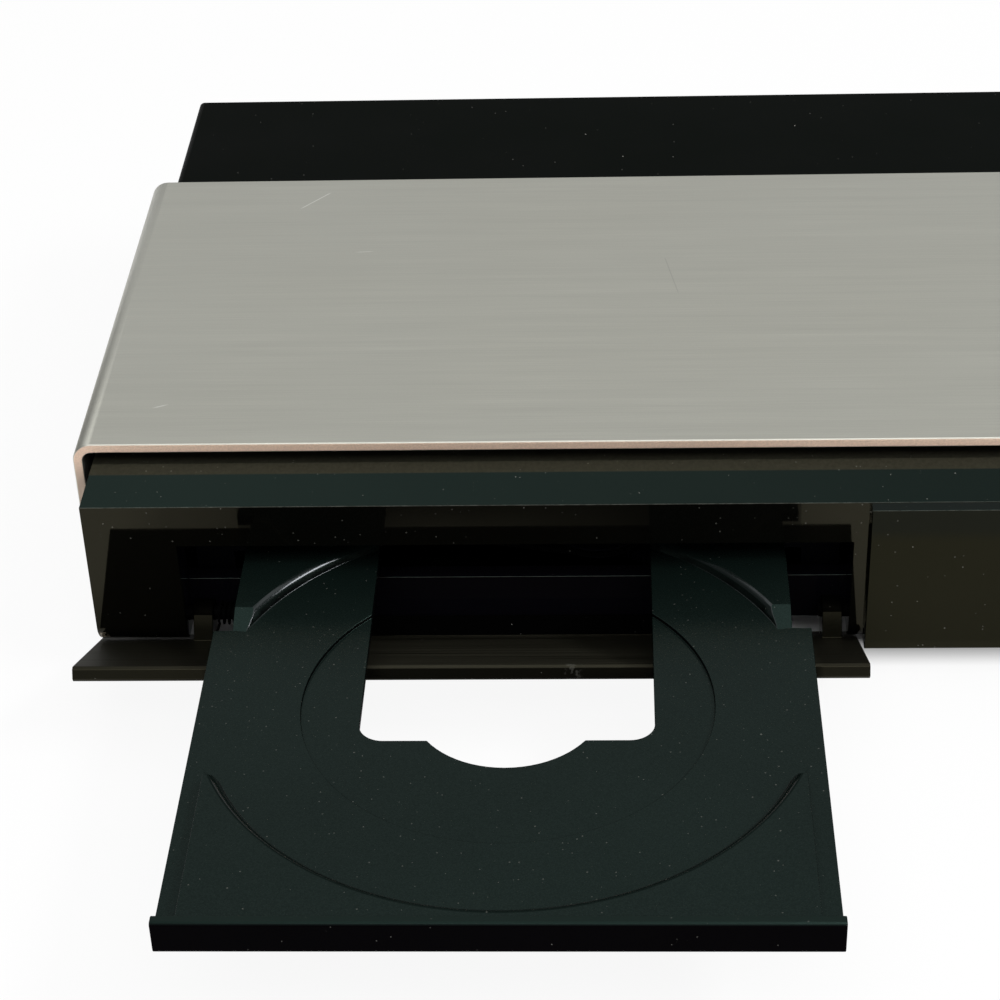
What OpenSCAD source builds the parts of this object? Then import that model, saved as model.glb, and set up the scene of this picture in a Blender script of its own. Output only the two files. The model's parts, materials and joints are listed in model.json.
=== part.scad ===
// Disc player with an aluminium wrap, a drop-down flap and a sliding disc tray, shown with the tray out.
// Millimetres. X to the right, Y to the back, Z up, the feet stand on Z = 0.

/* [Cabinet] */
// Overall width across the aluminium wrap
cabinet_w = 430; // [415:1:480]
// Depth from the front panel's face to the cover's rear edge
cabinet_d = 183.5; // [181:0.5:230]
// Height from the panel's bottom edge to the aluminium's top
body_h = 46.3; // [44:0.1:60]
// Height of the feet
foot_h = 7; // [5:0.1:12]
// Diameter of a foot
foot_d = 26; // [18:0.5:34]
// Sheet thickness of the chassis, the rear panel and the cover
sheet = 1; // [0.6:0.1:1.4]
// Clearance between pieces that are fitted together
fit_gap = 0.3; // [0.2:0.05:0.5]
// Radial clearance of a pin or a shaft in its bore
run_gap = 0.05; // [0.02:0.01:0.1]

/* [Aluminium wrap] */
// Thickness of the aluminium
wrap_t = 2.2; // [1:0.1:4]
// Setback of its front edge from the front panel's face
wrap_front = 12.5; // [11:0.1:20]
// Depth of the aluminium from front to back
wrap_d = 120.8; // [90:0.1:160]
// Outside radius of the bends
wrap_r = 4.2; // [2.5:0.1:6]
// Gap between the aluminium's legs and the steel cover
wrap_gap = 3.2; // [2.5:0.1:6]
// Height of the legs' lower edge above the panel's bottom edge
wrap_leg_up = 3; // [0:0.1:10]

/* [Front] */
// Thickness of the front panel
panel_t = 2.7; // [2:0.1:4]
// Drop from the aluminium's top to the front panel's top edge
panel_drop = 9.8; // [9:0.1:13]
// Rise of the bevel's front edge above the front panel's top edge
bevel_up = 0.2; // [0:0.1:1]
// Wall of the moulded fascia
fascia_wall = 2.2; // [1.6:0.1:3]
// Depth of the fascia behind the front panel's face
fascia_d = 22; // [20.5:0.1:26]
// How much the fascia narrows at each end, under the aluminium
fascia_taper = 1.8; // [1:0.1:4]
// Radius of the fascia's lower corners
fascia_r = 2; // [1:0.1:3]
// Height of the dark groove under the aluminium
groove_h = 2.65; // [1.6:0.05:3.5]
// Half width of the tray mouth
mouth_half = 72.3; // [70:0.1:76]
// Height of the mouth above the tray
mouth_gap = 4.6; // [4.4:0.1:6]
// Width of the pillars beside the mouth
pillar_w = 3.3; // [3:0.1:6]
// Setback of the sill's face from the front panel's face
sill_y = 11.9; // [11.6:0.1:14]
// Thickness of the sill
sill_t = 4.1; // [2:0.1:6]
// Height of the sill above the panel's bottom edge
sill_h = 11.3; // [8:0.1:12]

/* [Flap door] */
// Thickness of the flap
flap_t = 3.2; // [2.4:0.1:3.6]
// How far the closed flap stands out from the front panel's face
flap_proud = 0.8; // [0.8:0.1:1.2]
// Gap between the flap's end and the front panel
flap_side_gap = 1.2; // [0.4:0.1:2]
// Setback of the hinge axis from the front panel's face
hinge_y = 8.1; // [7.6:0.1:8.3]
// Height of the hinge axis above the panel's bottom edge
hinge_up = 4.6; // [4.2:0.1:5.5]
// Radius of the hinge pins
hinge_r = 1.5; // [1:0.1:1.8]
// Width of a hinge lug
lug_w = 4.3; // [3:0.1:5]
// Height of a hinge lug where it meets the flap
lug_h = 7.7; // [6:0.1:9]
// Outside radius of a hinge lug round its pin
lug_r = 3.2; // [2.8:0.1:3.4]
// Gap between the open flap's edge and the tray's ribs
flap_rest_gap = 0.8; // [0.3:0.1:1]
// Turns of the flap's spring
spring_turns = 6; // [3:1:8]
// Wire radius of the flap's spring
spring_wire = 0.3; // [0.2:0.05:0.35]

/* [Disc tray] */
// Tray's top plane above the panel's bottom edge
tray_rise = 21.8; // [21.5:0.1:23]
// Tray's middle from the cabinet's left side
tray_from_left = 94.4; // [93:0.1:110]
// How far the lip stands out from the front panel's face with the tray out
tray_out = 107.9; // [100:0.1:112]
// Travel of the tray
tray_travel = 118; // [114:0.1:122]
// Width of the tray over its rails
tray_w = 124.6; // [122:0.1:128]
// Width of a rail
rail_w = 4; // [3:0.1:5]
// Depth of the rails and of the disc recess below the tray's top
recess_d = 2; // [1.6:0.1:2.4]
// Thickness of the tray's plate
tray_t = 4.6; // [4:0.1:5]
// Depth of the ribs and the rack below the tray's top
rib_d = 7.2; // [6.6:0.1:7.4]
// Lip's front face from the disc's middle
lip_reach = 65.6; // [65:0.1:70]
// Thickness of the lip
lip_t = 2.2; // [1.6:0.1:3]
// Rise of the lip above the tray's top
lip_up = 0.4; // [0:0.1:0.8]
// Depth of the lip below the tray's top
lip_down = 6.9; // [6:0.1:7.2]
// Tray's rear end from the disc's middle
tray_back = 90; // [84:0.1:92]
// Radius of the disc recess at the tray's top
recess_r = 62; // [61.5:0.1:63]
// How much the recess narrows from its top to its floor
recess_draft = 1.8; // [1.4:0.1:2]
// Half length of the open sides of the recess
side_open = 24; // [22:0.1:32]
// Length of the slope that ends the tray's rear corners
corner_slope = 5.5; // [3:0.1:10]
// Where the rear rails begin, behind the disc's middle
rail_start = 58; // [50:0.1:64]
// Radius of the small disc recess
small_r = 41.5; // [40.5:0.1:43]
// Depth of the small disc recess below the large one
small_d = 0.8; // [0.4:0.1:1.2]
// Half width of the pickup cut-out
cut_half = 29.4; // [26:0.1:32]
// Front end of the cut-out, ahead of the disc's middle
cut_front = 10.8; // [8:0.1:12]
// Rear end of the cut-out, behind the disc's middle
cut_back = 68; // [64:0.1:72]
// Corner radius of the cut-out
cut_r = 5; // [2:0.1:8]
// Radius of the cut-out round the spindle
bulge_r = 19; // [17:0.1:20]

/* [Loader] */
// Wall of the loader frame
loader_wall = 2.5; // [2:0.1:3]
// Half width of the loader frame at its foot flanges
loader_half = 71; // [69:0.1:71.5]
// Length of the front posts
post_l = 8; // [5:0.1:10]
// Height of the loader's side walls above the tray's top
loader_up = 4.6; // [4:0.1:6]
// Width of the clamp bridge from front to back
bridge_d = 36; // [32:0.1:50]
// Thickness of the clamp bridge
bridge_t = 1.2; // [0.8:0.1:2]
// Radius of the clamper's flange
clamper_r = 13; // [12:0.1:15]
// Radius of the clamper's neck
clamper_neck = 9.6; // [9:0.1:10]
// Tooth size of the tray's rack and its gear
rack_module = 0.8; // [0.7:0.05:0.85]
// Teeth of the gear on the tray's rack
rack_gear_teeth = 32; // [30:1:33]
// Tooth size of the lower gear pair
low_module = 0.5; // [0.45:0.01:0.5]
// Teeth of the main gear's lower wheel
low_gear_teeth = 60; // [56:2:60]
// Teeth of the pinion on the pulley
pinion_teeth = 15; // [14:1:17]
// Groove radius of the large pulley
pulley_r = 10.2; // [8:0.1:10.5]
// Groove radius of the motor pulley
motor_pulley_r = 2.6; // [2.2:0.1:3.5]
// Thickness of the belt
belt_t = 1.2; // [0.8:0.1:1.4]
// Radius of the loading motor
motor_r = 12; // [9:0.1:12.2]
// Sideways travel of the cam slider
cam_travel = 18; // [14:0.1:22]

/* [Disc drive] */
// How far the deck's spindle drops to let the tray pass
deck_drop = 6.8; // [6.6:0.1:7]
// Distance from the deck's pivot to the spindle
deck_arm = 82; // [81:0.1:88]
// Half width of the deck
deck_half = 42; // [41:0.1:43]
// Thickness of the deck's plate
deck_t = 1.6; // [1.2:0.1:1.8]
// Radius of the turntable
turntable_r = 14.5; // [13:0.1:15]
// Radius of the spindle motor
spindle_motor_r = 11; // [9:0.1:11]
// Distance from the spindle to the lens at the inner end of its travel
lens_inner = 24; // [23.5:0.1:25]
// Travel of the pickup
pickup_travel = 34; // [30:0.1:34]
// Radius of the guide rods
rod_r = 1.5; // [1:0.1:1.6]
// Half distance between the guide rods
rod_half = 27; // [26.5:0.1:27.5]
// Radius of the feed motor
feed_motor_r = 4.6; // [4:0.1:4.8]

/* [Electronics] */
// Height of the boards' standoffs
standoff_h = 6; // [4:0.1:8]
// Thickness of the boards
board_t = 1.6; // [1.2:0.1:2]
// Share of the boards' width that the main board takes
main_share = 0.55; // [0.53:0.01:0.58]
// Depth of the boards
board_d = 100; // [90:1:106]
// Setback of the front board from the front panel's face
front_board_y = 12; // [11:0.1:13]
// Width of a button's face
button_w = 11.4; // [8:0.1:14]
// Height of a button's face
button_h = 3.9; // [3:0.1:6]
// Distance between the buttons
button_pitch = 20; // [18:0.1:22]
// Travel of a button
button_travel = 0.8; // [0.5:0.1:0.9]
// Height of the buttons above the panel's bottom edge
button_up = 18; // [14:0.1:20]
// Width of the display
display_w = 70; // [50:1:75]
// Height of the display
display_h = 16; // [10:1:18]

/* [Hidden] */
$fn = 48;
// Overshoot of a cutting solid past the face that it cuts
over = 1;
// Depth by which solids of one piece run into each other
lap = 0.1;

// Cabinet, with Y = 0 at the front panel's face
half_w = cabinet_w / 2;
z_top = foot_h + body_h;
wrap_under = z_top - wrap_t;
cover_half = half_w - wrap_t - wrap_gap;
cover_under = wrap_under - sheet;
chassis_half = cover_half - sheet - fit_gap;
floor_top = foot_h + sheet;
rear_y = cabinet_d - 2 * sheet;
foot_x = half_w - 40;
foot_front_y = 45;
foot_rear_y = cabinet_d - 25;
foot_cup = 3;
foot_edge = 1.2;
mid_y = (cabinet_d - tray_out) / 2;
spacer_up = [12, 20];
spacer_inset = [20, 10];
side_drop = 8;
rear_half = chassis_half - sheet - fit_gap;
rear_flange = 8;
vent_r = 1.2;
vent_l = 6;
vent_pitch = 10;
vent_count = 12;
vent_up = [14, 24];
floor_slots = 10;
floor_slot_pitch = 7;
floor_slot_inset = [20, 15];

// Screws and their bosses
boss_r = 3;
boss_hole_d = 5;
screw_hole_r = 1.5;
shank_r = screw_hole_r - run_gap;
head_r = 2.8;
head_h = 1.6;
rear_head_h = 0.8;
screw_bite = 4;
small_hole_r = 0.8;
small_head_r = 1.8;
small_head_h = 1.2;
rear_screw_z = cover_under - 6;

// Front
fascia_half = half_w - wrap_t;
panel_top = z_top - panel_drop;
step_y = wrap_front - 0.2;
step_z = wrap_under - groove_h;
wall_y = panel_t + fascia_wall;
sill_back = sill_y + sill_t;
ridge_y = fascia_d - 5;
ridge_w = 3;
ridge_half = cover_half - 6;
bevel_low = panel_top + bevel_up;
function bevel_z(y) = bevel_low + (y - panel_t) * (step_z - bevel_low) / (step_y - panel_t);

// Tray, with its origin at the disc's middle on the tray's top plane
tray_x = tray_from_left - half_w;
tray_z = foot_h + tray_rise;
disc_y = lip_reach - tray_out;
panel_ly = -disc_y;
floor_lz = floor_top - tray_z;
mouth_top = tray_z + mouth_gap;
pillar_out = mouth_half + pillar_w;
panel_left = tray_x + pillar_out;
rail_half = tray_w / 2;
plate_half = rail_half - rail_w;
lip_half = rail_half + 0.35;
tray_front = lip_t - lip_reach;
cut_bottom = tray_t + over;
rib_w = 2;
rib_x = plate_half - 3.8;
lip_round = 0.8;
edge_w = 1.2;
edge_d = 0.8;

// Flap, in its closed place before it is turned about the hinge
hinge_z = foot_h + hinge_up;
flap_in_y = flap_t - flap_proud;
flap_low = foot_h + 0.2;
flap_high = panel_top - fit_gap;
flap_left = -fascia_half;
flap_right = panel_left - flap_side_gap;
flap_arm_y = hinge_y - flap_in_y;
flap_arm_z = flap_high - hinge_z;
flap_reach = sqrt(flap_arm_y * flap_arm_y + flap_arm_z * flap_arm_z);
flap_edge_z = tray_z - rib_d - flap_rest_gap;
flap_angle = acos((flap_edge_z - hinge_z) / flap_reach) - atan2(flap_arm_y, flap_arm_z);
lug_x = mouth_half - 1.3 - lug_w;
lug_mid = lug_x + lug_w / 2;
flap_edge_out = 0.5;
flap_edge_in = 0.6;
flange_up = 1.2;
flange_t = 2;
flange_d = 4.3;
flange_past = 0.5;
flange_short = 8;
relief_r = hinge_y - panel_t;
pin_past = 0.6;
pin_short = 0.2;
spring_l = 7;
spring_r = hinge_r + 0.9;
spring_x = tray_x - lug_x + 1;
pin_end = spring_x + spring_l + over;
spring_leg = 8;
spring_off = 0.5;
spring_start = flap_angle - 180;
spring_made = spring_turns + (spring_start + 270) / 360;

// Loader, in the tray's frame
loader_y = panel_ly + sill_back + 1.5;
spindle_y = tray_travel;
pivot_y = spindle_y + deck_arm;
pivot_z = -10;
pivot_r = 2;
pivot_reach = 5;
loader_end = pivot_y + pivot_reach + pin_short;
wall_x = rail_half + 0.4;
wall_out = wall_x + loader_wall;
ledge_top = -tray_t - fit_gap;
ledge_t = 2.2;
ledge_in = plate_half + 0.5;
hold_in = rail_half - 1.6;
hold_low = -recess_d + fit_gap;
hold_top = 0.5;
base_t = 2;
base_top = floor_lz + base_t;
front_base = 34;
post_up = 2.5;
pivot_block = [deck_half + 2, deck_half + 8];
hub_r = 7.4;
hub_top = 0.9;
clamper_low = 1.2;
clamper_flange = 1.4;
clamper_seat = loader_up + bridge_t + fit_gap;
clamper_cap = 1.2;
clamper_top = clamper_seat + clamper_cap;
clamper_web = 4;
clamper_web_t = 0.8;
magnet_hole_r = hub_r + 0.6;
bridge_rim = 2;
bridge_rim_inset = 6;
bridge_hole_inset = 4;

// Gear train, in the tray's frame
rack_gear_r = rack_gear_teeth * rack_module / 2;
low_gear_r = low_gear_teeth * low_module / 2;
pinion_r = pinion_teeth * low_module / 2;
gear_x = 36.5;
gear_y = loader_y + 14.2;
gear_post_r = 2.5;
rack_x = gear_x + rack_gear_r;
rack_pitch = PI * rack_module;
rack_w = 2.5;
rack_root = 1.1 * rack_module;
rack_foot = 0.3;
rack_first = floor((tray_front + 12 - gear_y) / rack_pitch);
rack_last = 1;
gear_top = -tray_t - fit_gap;
gear_t = 2.2;
gear_hub_r = gear_post_r + 2.2;
wheel_low = -12.8;
wheel_t = 2;
wheel_gap = 0.2;
pulley_angle = 189;
pulley_x = gear_x + (low_gear_r + pinion_r) * cos(pulley_angle);
pulley_y = gear_y + (low_gear_r + pinion_r) * sin(pulley_angle);
pulley_post_r = 1.5;
pulley_low = -9.8;
pulley_h = 2.2;
rim_t = 0.4;
rim_up = 0.8;
belt_h = 1.1;
motor_x = -18;
motor_y = pulley_y;
motor_top = -11.4;
motor_shaft_r = 1;
motor_nose_r = 3;
motor_nose = 1;
motor_shaft_in = 3;

// Deck, in the tray's frame with the deck raised
deck_angle = asin(deck_drop / deck_arm);
deck_front = spindle_y - 22;
deck_rear = pivot_y - 3;
deck_low = -8.4;
deck_top = deck_low + deck_t;
deck_rim = -5.2;
deck_rim_t = 1.6;
rest_z = -0.8;
turntable_t = 1.6;
turntable_boss_r = 6;
shaft_r = 1.5;
motor_low = -12;
motor_floor = 0.6;
rod_z_mid = -10.2;
rod_front = spindle_y + 4;
rod_rear = pivot_y - 4.4;
rod_lug = 3;
lug_half = 3.2;
lug_low = rod_z_mid - 2.4;
lens_y = spindle_y + lens_inner;
lens_hole_r = 3.6;
lens_low = -9;
lens_high = -3.2;
lens_top_r = 2.4;
lens_top_t = 0.7;
pickup_half = 22;
pickup_top = -6.4;
pickup_cap = -5.6;
pickup_low = deck_low - fit_gap;
window_half = pickup_half + 1;
pickup_front = lens_y - 11;
pickup_rear = lens_y + 16;
window_front = spindle_y + spindle_motor_r + 0.5;
window_rear = pickup_rear + pickup_travel + 2;
lead_x = rod_half + 8;
lead_r = 1.5;
lead_front = rod_front + 3;
nut_d = 6;
feed_front = lens_y + nut_d + pickup_travel + over;
feed_rear = rod_rear - 2;
cam_pin_r = 1;
cam_pin_z = -7;
cam_y = loader_y + 30.8;
cam_t = 2;
cam_top = -tray_t - fit_gap;
cam_low = base_top + fit_gap;
cam_rail_h = 2.5;
cam_rail_t = 1.2;
cam_rail_half = 40;
cam_notch = 2.4;
cam_end = 6;
cam_dwell = 2.5;
cam_slot_r = cam_pin_r + 0.4;
// Height of the deck's pin where it crosses the slider, with the deck lowered
cam_reach = pivot_y - cam_y - cam_t / 2;
cam_rest = pivot_z - cam_reach * sin(deck_angle) + (cam_pin_z - pivot_z) * cos(deck_angle);

// Electronics, with Y = 0 at the front panel's face
board_low = floor_top + standoff_h;
board_top = board_low + board_t;
board_rear = rear_y - 4.5;
board_front = board_rear - board_d;
board_gap = 12;
board_side = 23.9;
main_left = tray_x + loader_half + 22;
power_right = chassis_half - board_side;
main_w = main_share * (power_right - board_gap - main_left);
main_right = main_left + main_w;
power_left = main_right + board_gap;
power_w = power_right - power_left;
board_inset = [5, 14];
chip_size = 27;
chip_h = 2.2;
chip_x = main_left + main_w / 2;
chip_y = board_front + 38;
memory_h = 1.2;
memory_size = [11, 13];
memory_off = 20;
memory_gap = 1;
flash_size = [18, 12];
flash_off = 18;
sink_w = chip_size + 6;
sink_base = 2;
sink_h = 10;
fin_t = 1.4;
fin_gaps = 6;
trafo = [32, 30, 24];
trafo_base = 3;
trafo_x = power_left + 0.38 * power_w;
trafo_y = board_front + 40;
cap_big = [9, 25];
cap_small = [4.4, 13];
cap_side = 5;
cap_first = 14;
cap_pitch = 12;
cap_back = [34, 76];
socket_share = [0.2, 0.46, 0.75];
hdmi_x = main_left + socket_share[0] * main_w;
lan_x = main_left + socket_share[1] * main_w;
audio_x = main_left + socket_share[2] * main_w;
inlet_x = power_right - 24;
socket_rear = rear_y + sheet + 0.5;
hdmi_size = [15, 6];
hdmi_d = 11;
hdmi_tongue = [5.5, 2.4, 3.4];
lan_size = [16, 13.5];
lan_d = 21;
lan_hole_half = 5.9;
lan_hole_d = 14;
lan_hole_up = [1.6, 9.6];
lan_latch_half = 3.2;
lan_latch_up = 11.8;
audio_pitch = 13;
audio_up = 8;
audio_r = 4.2;
audio_hole_r = 1.7;
audio_half = 5;
audio_box = [12, 13];
inlet_size = [22, 14];
inlet_hole = [16.6, 8.8];
inlet_hole_d = 12;
inlet_d = 15;
inlet_pin_x = 4.3;
inlet_pin_r = 1.2;
inlet_z = board_top + 8.5;
shell_t = 0.5;
usb_size = [13.2, 6];
usb_front = 0.6;
usb_tongue = [5.6, 0.2, 2];
usb_x = half_w - 24;
usb_z = foot_h + 16;
button_z = foot_h + button_up;
button_last = usb_x - 24;
button_x = [for (i = [3:-1:0]) button_last - i * button_pitch];
display_x = panel_left + 25 + display_w / 2;
display_z = foot_h + 22;
display_rim = [3, 1.5];
display_glass = 3;
front_board_x = [panel_left + 12, half_w - 12];
front_board_z = [foot_h + 6, foot_h + 31];
front_hole_inset = 4;
switch_h = 3.4;
switch_half = 3;
plunger_h = 0.9;
plunger_r = 1.6;
button_out = 0.4;
button_rim = [3, 2.4];
button_rim_t = 1;
button_rim_r = 1.2;
stem_r = 1.5;
stem_gap = 0.2;

// Places in the three frames

module cabinet() translate([0, -mid_y, 0]) children();

module loader() cabinet() translate([tray_x, disc_y, tray_z]) children();

module lowered() loader() translate([0, pivot_y, pivot_z]) rotate([deck_angle, 0, 0])
    translate([0, -pivot_y, -pivot_z]) children();

module opened() cabinet() translate([0, hinge_y, hinge_z]) rotate([flap_angle, 0, 0])
    translate([0, -hinge_y, -hinge_z]) children();

// Shapes that repeat

module block(x, y, z) translate([x[0], y[0], z[0]]) cube([x[1] - x[0], y[1] - y[0], z[1] - z[0]]);

module rod_x(x, y, z, r) translate([x[0], y, z]) rotate([0, 90, 0]) cylinder(r = r, h = x[1] - x[0]);

module rod_y(x, y, z, r) translate([x, y[1], z]) rotate([90, 0, 0]) cylinder(r = r, h = y[1] - y[0]);

module rod_z(x, y, z, r) translate([x, y, z[0]]) cylinder(r = r, h = z[1] - z[0]);

module along_x(x) translate([x[0], 0, 0]) rotate([90, 0, 90]) linear_extrude(x[1] - x[0]) children();

module along_y(y) translate([0, y[1], 0]) rotate([90, 0, 0]) linear_extrude(y[1] - y[0]) children();

module along_z(z) translate([0, 0, z[0]]) linear_extrude(z[1] - z[0]) children();

module area(x, y) translate([x[0], y[0]]) square([x[1] - x[0], y[1] - y[0]]);

module both_sides() {
    children();
    mirror([1, 0, 0]) children();
}

// Rectangle with round corners, about its middle
module rounded(w, h, r) {
    square([w - 2 * r, h], center = true);
    square([w, h - 2 * r], center = true);
    for (x = [-1, 1], y = [-1, 1]) translate([x * (w / 2 - r), y * (h / 2 - r)]) circle(r);
}

// Bar with round ends and joints along points
module track_2d(points, r) {
    for (p = points) translate(p) circle(r);
    for (i = [1:len(points) - 1]) let (p = points[i - 1], d = points[i] - p)
        translate(p) rotate(atan2(d[1], d[0])) translate([0, -r]) square([norm(d), 2 * r]);
}

module slot_2d(p, q, r) track_2d([p, q], r);

// Bar with round ends along X, about its middle
module pill(w, h) slot_2d([(h - w) / 2, 0], [(w - h) / 2, 0], h / 2);

// Sheet bent over at both sides, as a section
module bent_sheet(half, low, top, t, r) difference() {
    union() {
        area([-half, half], [low, top - r]);
        area([r - half, half - r], [low, top]);
        for (s = [-1, 1]) translate([s * (half - r), top - r]) circle(r);
    }
    area([t - half, half - t], [low - over, top - r]);
    area([r - half, half - r], [low - over, top - t]);
    for (s = [-1, 1]) translate([s * (half - r), top - r]) circle(r - t);
}

// Gear outline with slim teeth, a tooth on the X axis
function gear_points(teeth, size) = let (r = teeth * size / 2, step = 360 / teeth)
    [for (i = [0:teeth - 1], k = [[-1.1, -0.27], [0.8, -0.1], [0.8, 0.1], [-1.1, 0.27]])
        let (a = (i + k[1]) * step, d = r + k[0] * size) [d * cos(a), d * sin(a)]];

// Rack teeth that point to -X from the line x = 0, one of them at y = 0
function rack_points(first, last, size) = let (step = PI * size)
    [for (i = [first:last], k = [[1.1, -rack_foot], [-0.8, -0.11], [-0.8, 0.11], [1.1, rack_foot]])
        [k[0] * size, (i + k[1]) * step]];

module screw_down(p, z, length) {
    rod_z(p[0], p[1], [z, z + head_h], head_r);
    rod_z(p[0], p[1], [z - length, z], shank_r);
}

// Casing

module top_wrap() color([0.63, 0.64, 0.61]) cabinet()
    along_y([wrap_front, wrap_front + wrap_d])
        bent_sheet(half_w, foot_h + wrap_leg_up, z_top, wrap_t, wrap_r);

module top_cover() color([0.06, 0.07, 0.06]) cabinet() {
    along_y([fascia_d + fit_gap, cabinet_d])
        bent_sheet(cover_half, floor_top, wrap_under, sheet, sheet * 1.5);
    block([-ridge_half, ridge_half], [ridge_y - over, fascia_d + fit_gap], [cover_under, wrap_under]);
}

module wrap_spacers() color([0.1, 0.1, 0.1]) cabinet() both_sides()
    block([cover_half, half_w - wrap_t],
        [wrap_front + spacer_inset[0], wrap_front + wrap_d - spacer_inset[1]],
        [foot_h + spacer_up[0], foot_h + spacer_up[1]]);

module chassis() color([0.62, 0.63, 0.64]) cabinet() difference() {
    union() {
        block([-chassis_half, chassis_half], [sill_back + fit_gap, rear_y], [foot_h, floor_top]);
        both_sides() block([chassis_half - sheet, chassis_half], [fascia_d + fit_gap, rear_y],
            [foot_h, cover_under - side_drop]);
        for (p = board_holes()) rod_z(p[0], p[1], [floor_top - lap, board_low], boss_r);
    }
    for (p = board_holes()) rod_z(p[0], p[1], [foot_h - over, board_low + over], screw_hole_r);
    for (p = foot_places()) rod_z(p[0], p[1], [foot_h - over, floor_top + over], screw_hole_r);
    for (p = loader_holes())
        rod_z(tray_x + p[0], disc_y + p[1], [foot_h - over, floor_top + over], screw_hole_r);
    for (i = [0:floor_slots - 1]) let (y = board_front + floor_slot_inset[1] + i * floor_slot_pitch)
        along_z([foot_h - over, floor_top + over])
            slot_2d([main_left + floor_slot_inset[0], y], [main_right - floor_slot_inset[0], y], vent_r);
}

function foot_places() = [for (x = [-foot_x, foot_x], y = [foot_front_y, foot_rear_y]) [x, y]];
function corner_holes(left, right) =
    [for (x = [left + board_inset[0], right - board_inset[0]],
        y = [board_front + board_inset[0], board_rear - board_inset[1]]) [x, y]];
function main_holes() = corner_holes(main_left, main_right);
function power_holes() = corner_holes(power_left, power_right);
function board_holes() = concat(main_holes(), power_holes());
function loader_holes() = [for (x = [-1, 1], y = [loader_y + 20, loader_end - 8])
    [x * (wall_out + loader_half) / 2, y]];

module feet() color([0.05, 0.05, 0.05]) cabinet() for (p = foot_places()) translate(p)
    rotate_extrude() polygon([[screw_hole_r, foot_cup], [foot_d / 4, foot_cup], [foot_d / 4, 0],
        [foot_d / 2 - foot_edge, 0], [foot_d / 2, foot_edge], [foot_d / 2, foot_h], [screw_hole_r, foot_h]]);

module cabinet_screws() color([0.15, 0.15, 0.16]) cabinet() {
    for (p = foot_places()) {
        rod_z(p[0], p[1], [foot_cup - head_h, foot_cup], head_r);
        rod_z(p[0], p[1], [foot_cup, floor_top - pin_short], shank_r);
    }
    for (x = rear_screw_x()) {
        rod_y(x, [rear_y + sheet, rear_y + sheet + rear_head_h], rear_screw_z, head_r);
        rod_y(x, [rear_y - screw_bite, rear_y + sheet], rear_screw_z, shank_r);
    }
}

function rear_screw_x() = [12 - chassis_half, main_left - 14, power_left - 6, chassis_half - 12];

module rear_panel() color([0.1, 0.1, 0.11]) cabinet() difference() {
    union() {
        block([-rear_half, rear_half], [rear_y, rear_y + sheet], [floor_top, cover_under]);
        block([-rear_half, rear_half], [rear_y - rear_flange, rear_y + sheet],
            [cover_under - sheet, cover_under]);
    }
    socket_cut(hdmi_x, hdmi_size);
    socket_cut(lan_x, lan_size);
    for (x = audio_places())
        rod_y(x, [rear_y - over, socket_rear + over], board_top + audio_up, audio_r + fit_gap);
    translate([0, 0, inlet_z]) along_y([rear_y - over, socket_rear + over]) translate([inlet_x, 0])
        pill(inlet_size[0] + 2 * fit_gap, inlet_size[1] + 2 * fit_gap);
    for (x = rear_screw_x()) rod_y(x, [rear_y - over, socket_rear + over], rear_screw_z, screw_hole_r);
    for (i = [0:vent_count - 1], up = vent_up)
        let (x = tray_x + (i - vent_count / 2) * vent_pitch, z = foot_h + up)
            along_y([rear_y - over, socket_rear + over]) slot_2d([x, z], [x, z + vent_l], vent_r);
}

module socket_cut(x, size) block([x - size[0] / 2 - fit_gap, x + size[0] / 2 + fit_gap],
    [rear_y - over, socket_rear + over], [board_top - fit_gap, board_top + size[1] + fit_gap]);

// Front

module fascia_section(inset) polygon([
    [panel_t + inset, foot_h - (inset > 0 ? over : 0)],
    [panel_t + inset, bevel_z(panel_t + inset) - inset],
    [step_y, step_z - inset],
    [fascia_d + (inset > 0 ? over : 0), step_z - inset],
    [fascia_d + (inset > 0 ? over : 0), foot_h - (inset > 0 ? over : 0)]]);

module fascia_plan(inset) polygon([
    [inset - fascia_half, panel_t - over], [fascia_half - inset, panel_t - over],
    [fascia_half - inset, panel_t], [fascia_half - fascia_taper - inset, step_y],
    [fascia_half - fascia_taper - inset, fascia_d + over],
    [inset + fascia_taper - fascia_half, fascia_d + over], [inset + fascia_taper - fascia_half, step_y],
    [inset - fascia_half, panel_t]]);

// Front view of the fascia, with round lower corners
module fascia_front() {
    area([-fascia_half - over, fascia_half + over], [foot_h + fascia_r, z_top]);
    area([fascia_r - fascia_half, fascia_half - fascia_r], [foot_h - over, foot_h + fascia_r + lap]);
    for (s = [-1, 1]) translate([s * (fascia_half - fascia_r), foot_h + fascia_r]) circle(fascia_r);
}

module fascia_shell() difference() {
    along_x([-fascia_half, fascia_half]) fascia_section(0);
    intersection() {
        along_x([-fascia_half, fascia_half]) fascia_section(fascia_wall);
        along_z([0, z_top]) fascia_plan(fascia_wall);
    }
    block([tray_x - mouth_half, tray_x + mouth_half], [0, sill_y], [0, mouth_top]);
}

// Space that the flap's lower edge sweeps round the hinge
module hinge_relief() difference() {
    block([-fascia_half - over, panel_left], [0, hinge_y], [0, hinge_z]);
    rod_x([-fascia_half - 2 * over, panel_left + over], hinge_y, hinge_z, relief_r);
}

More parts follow.
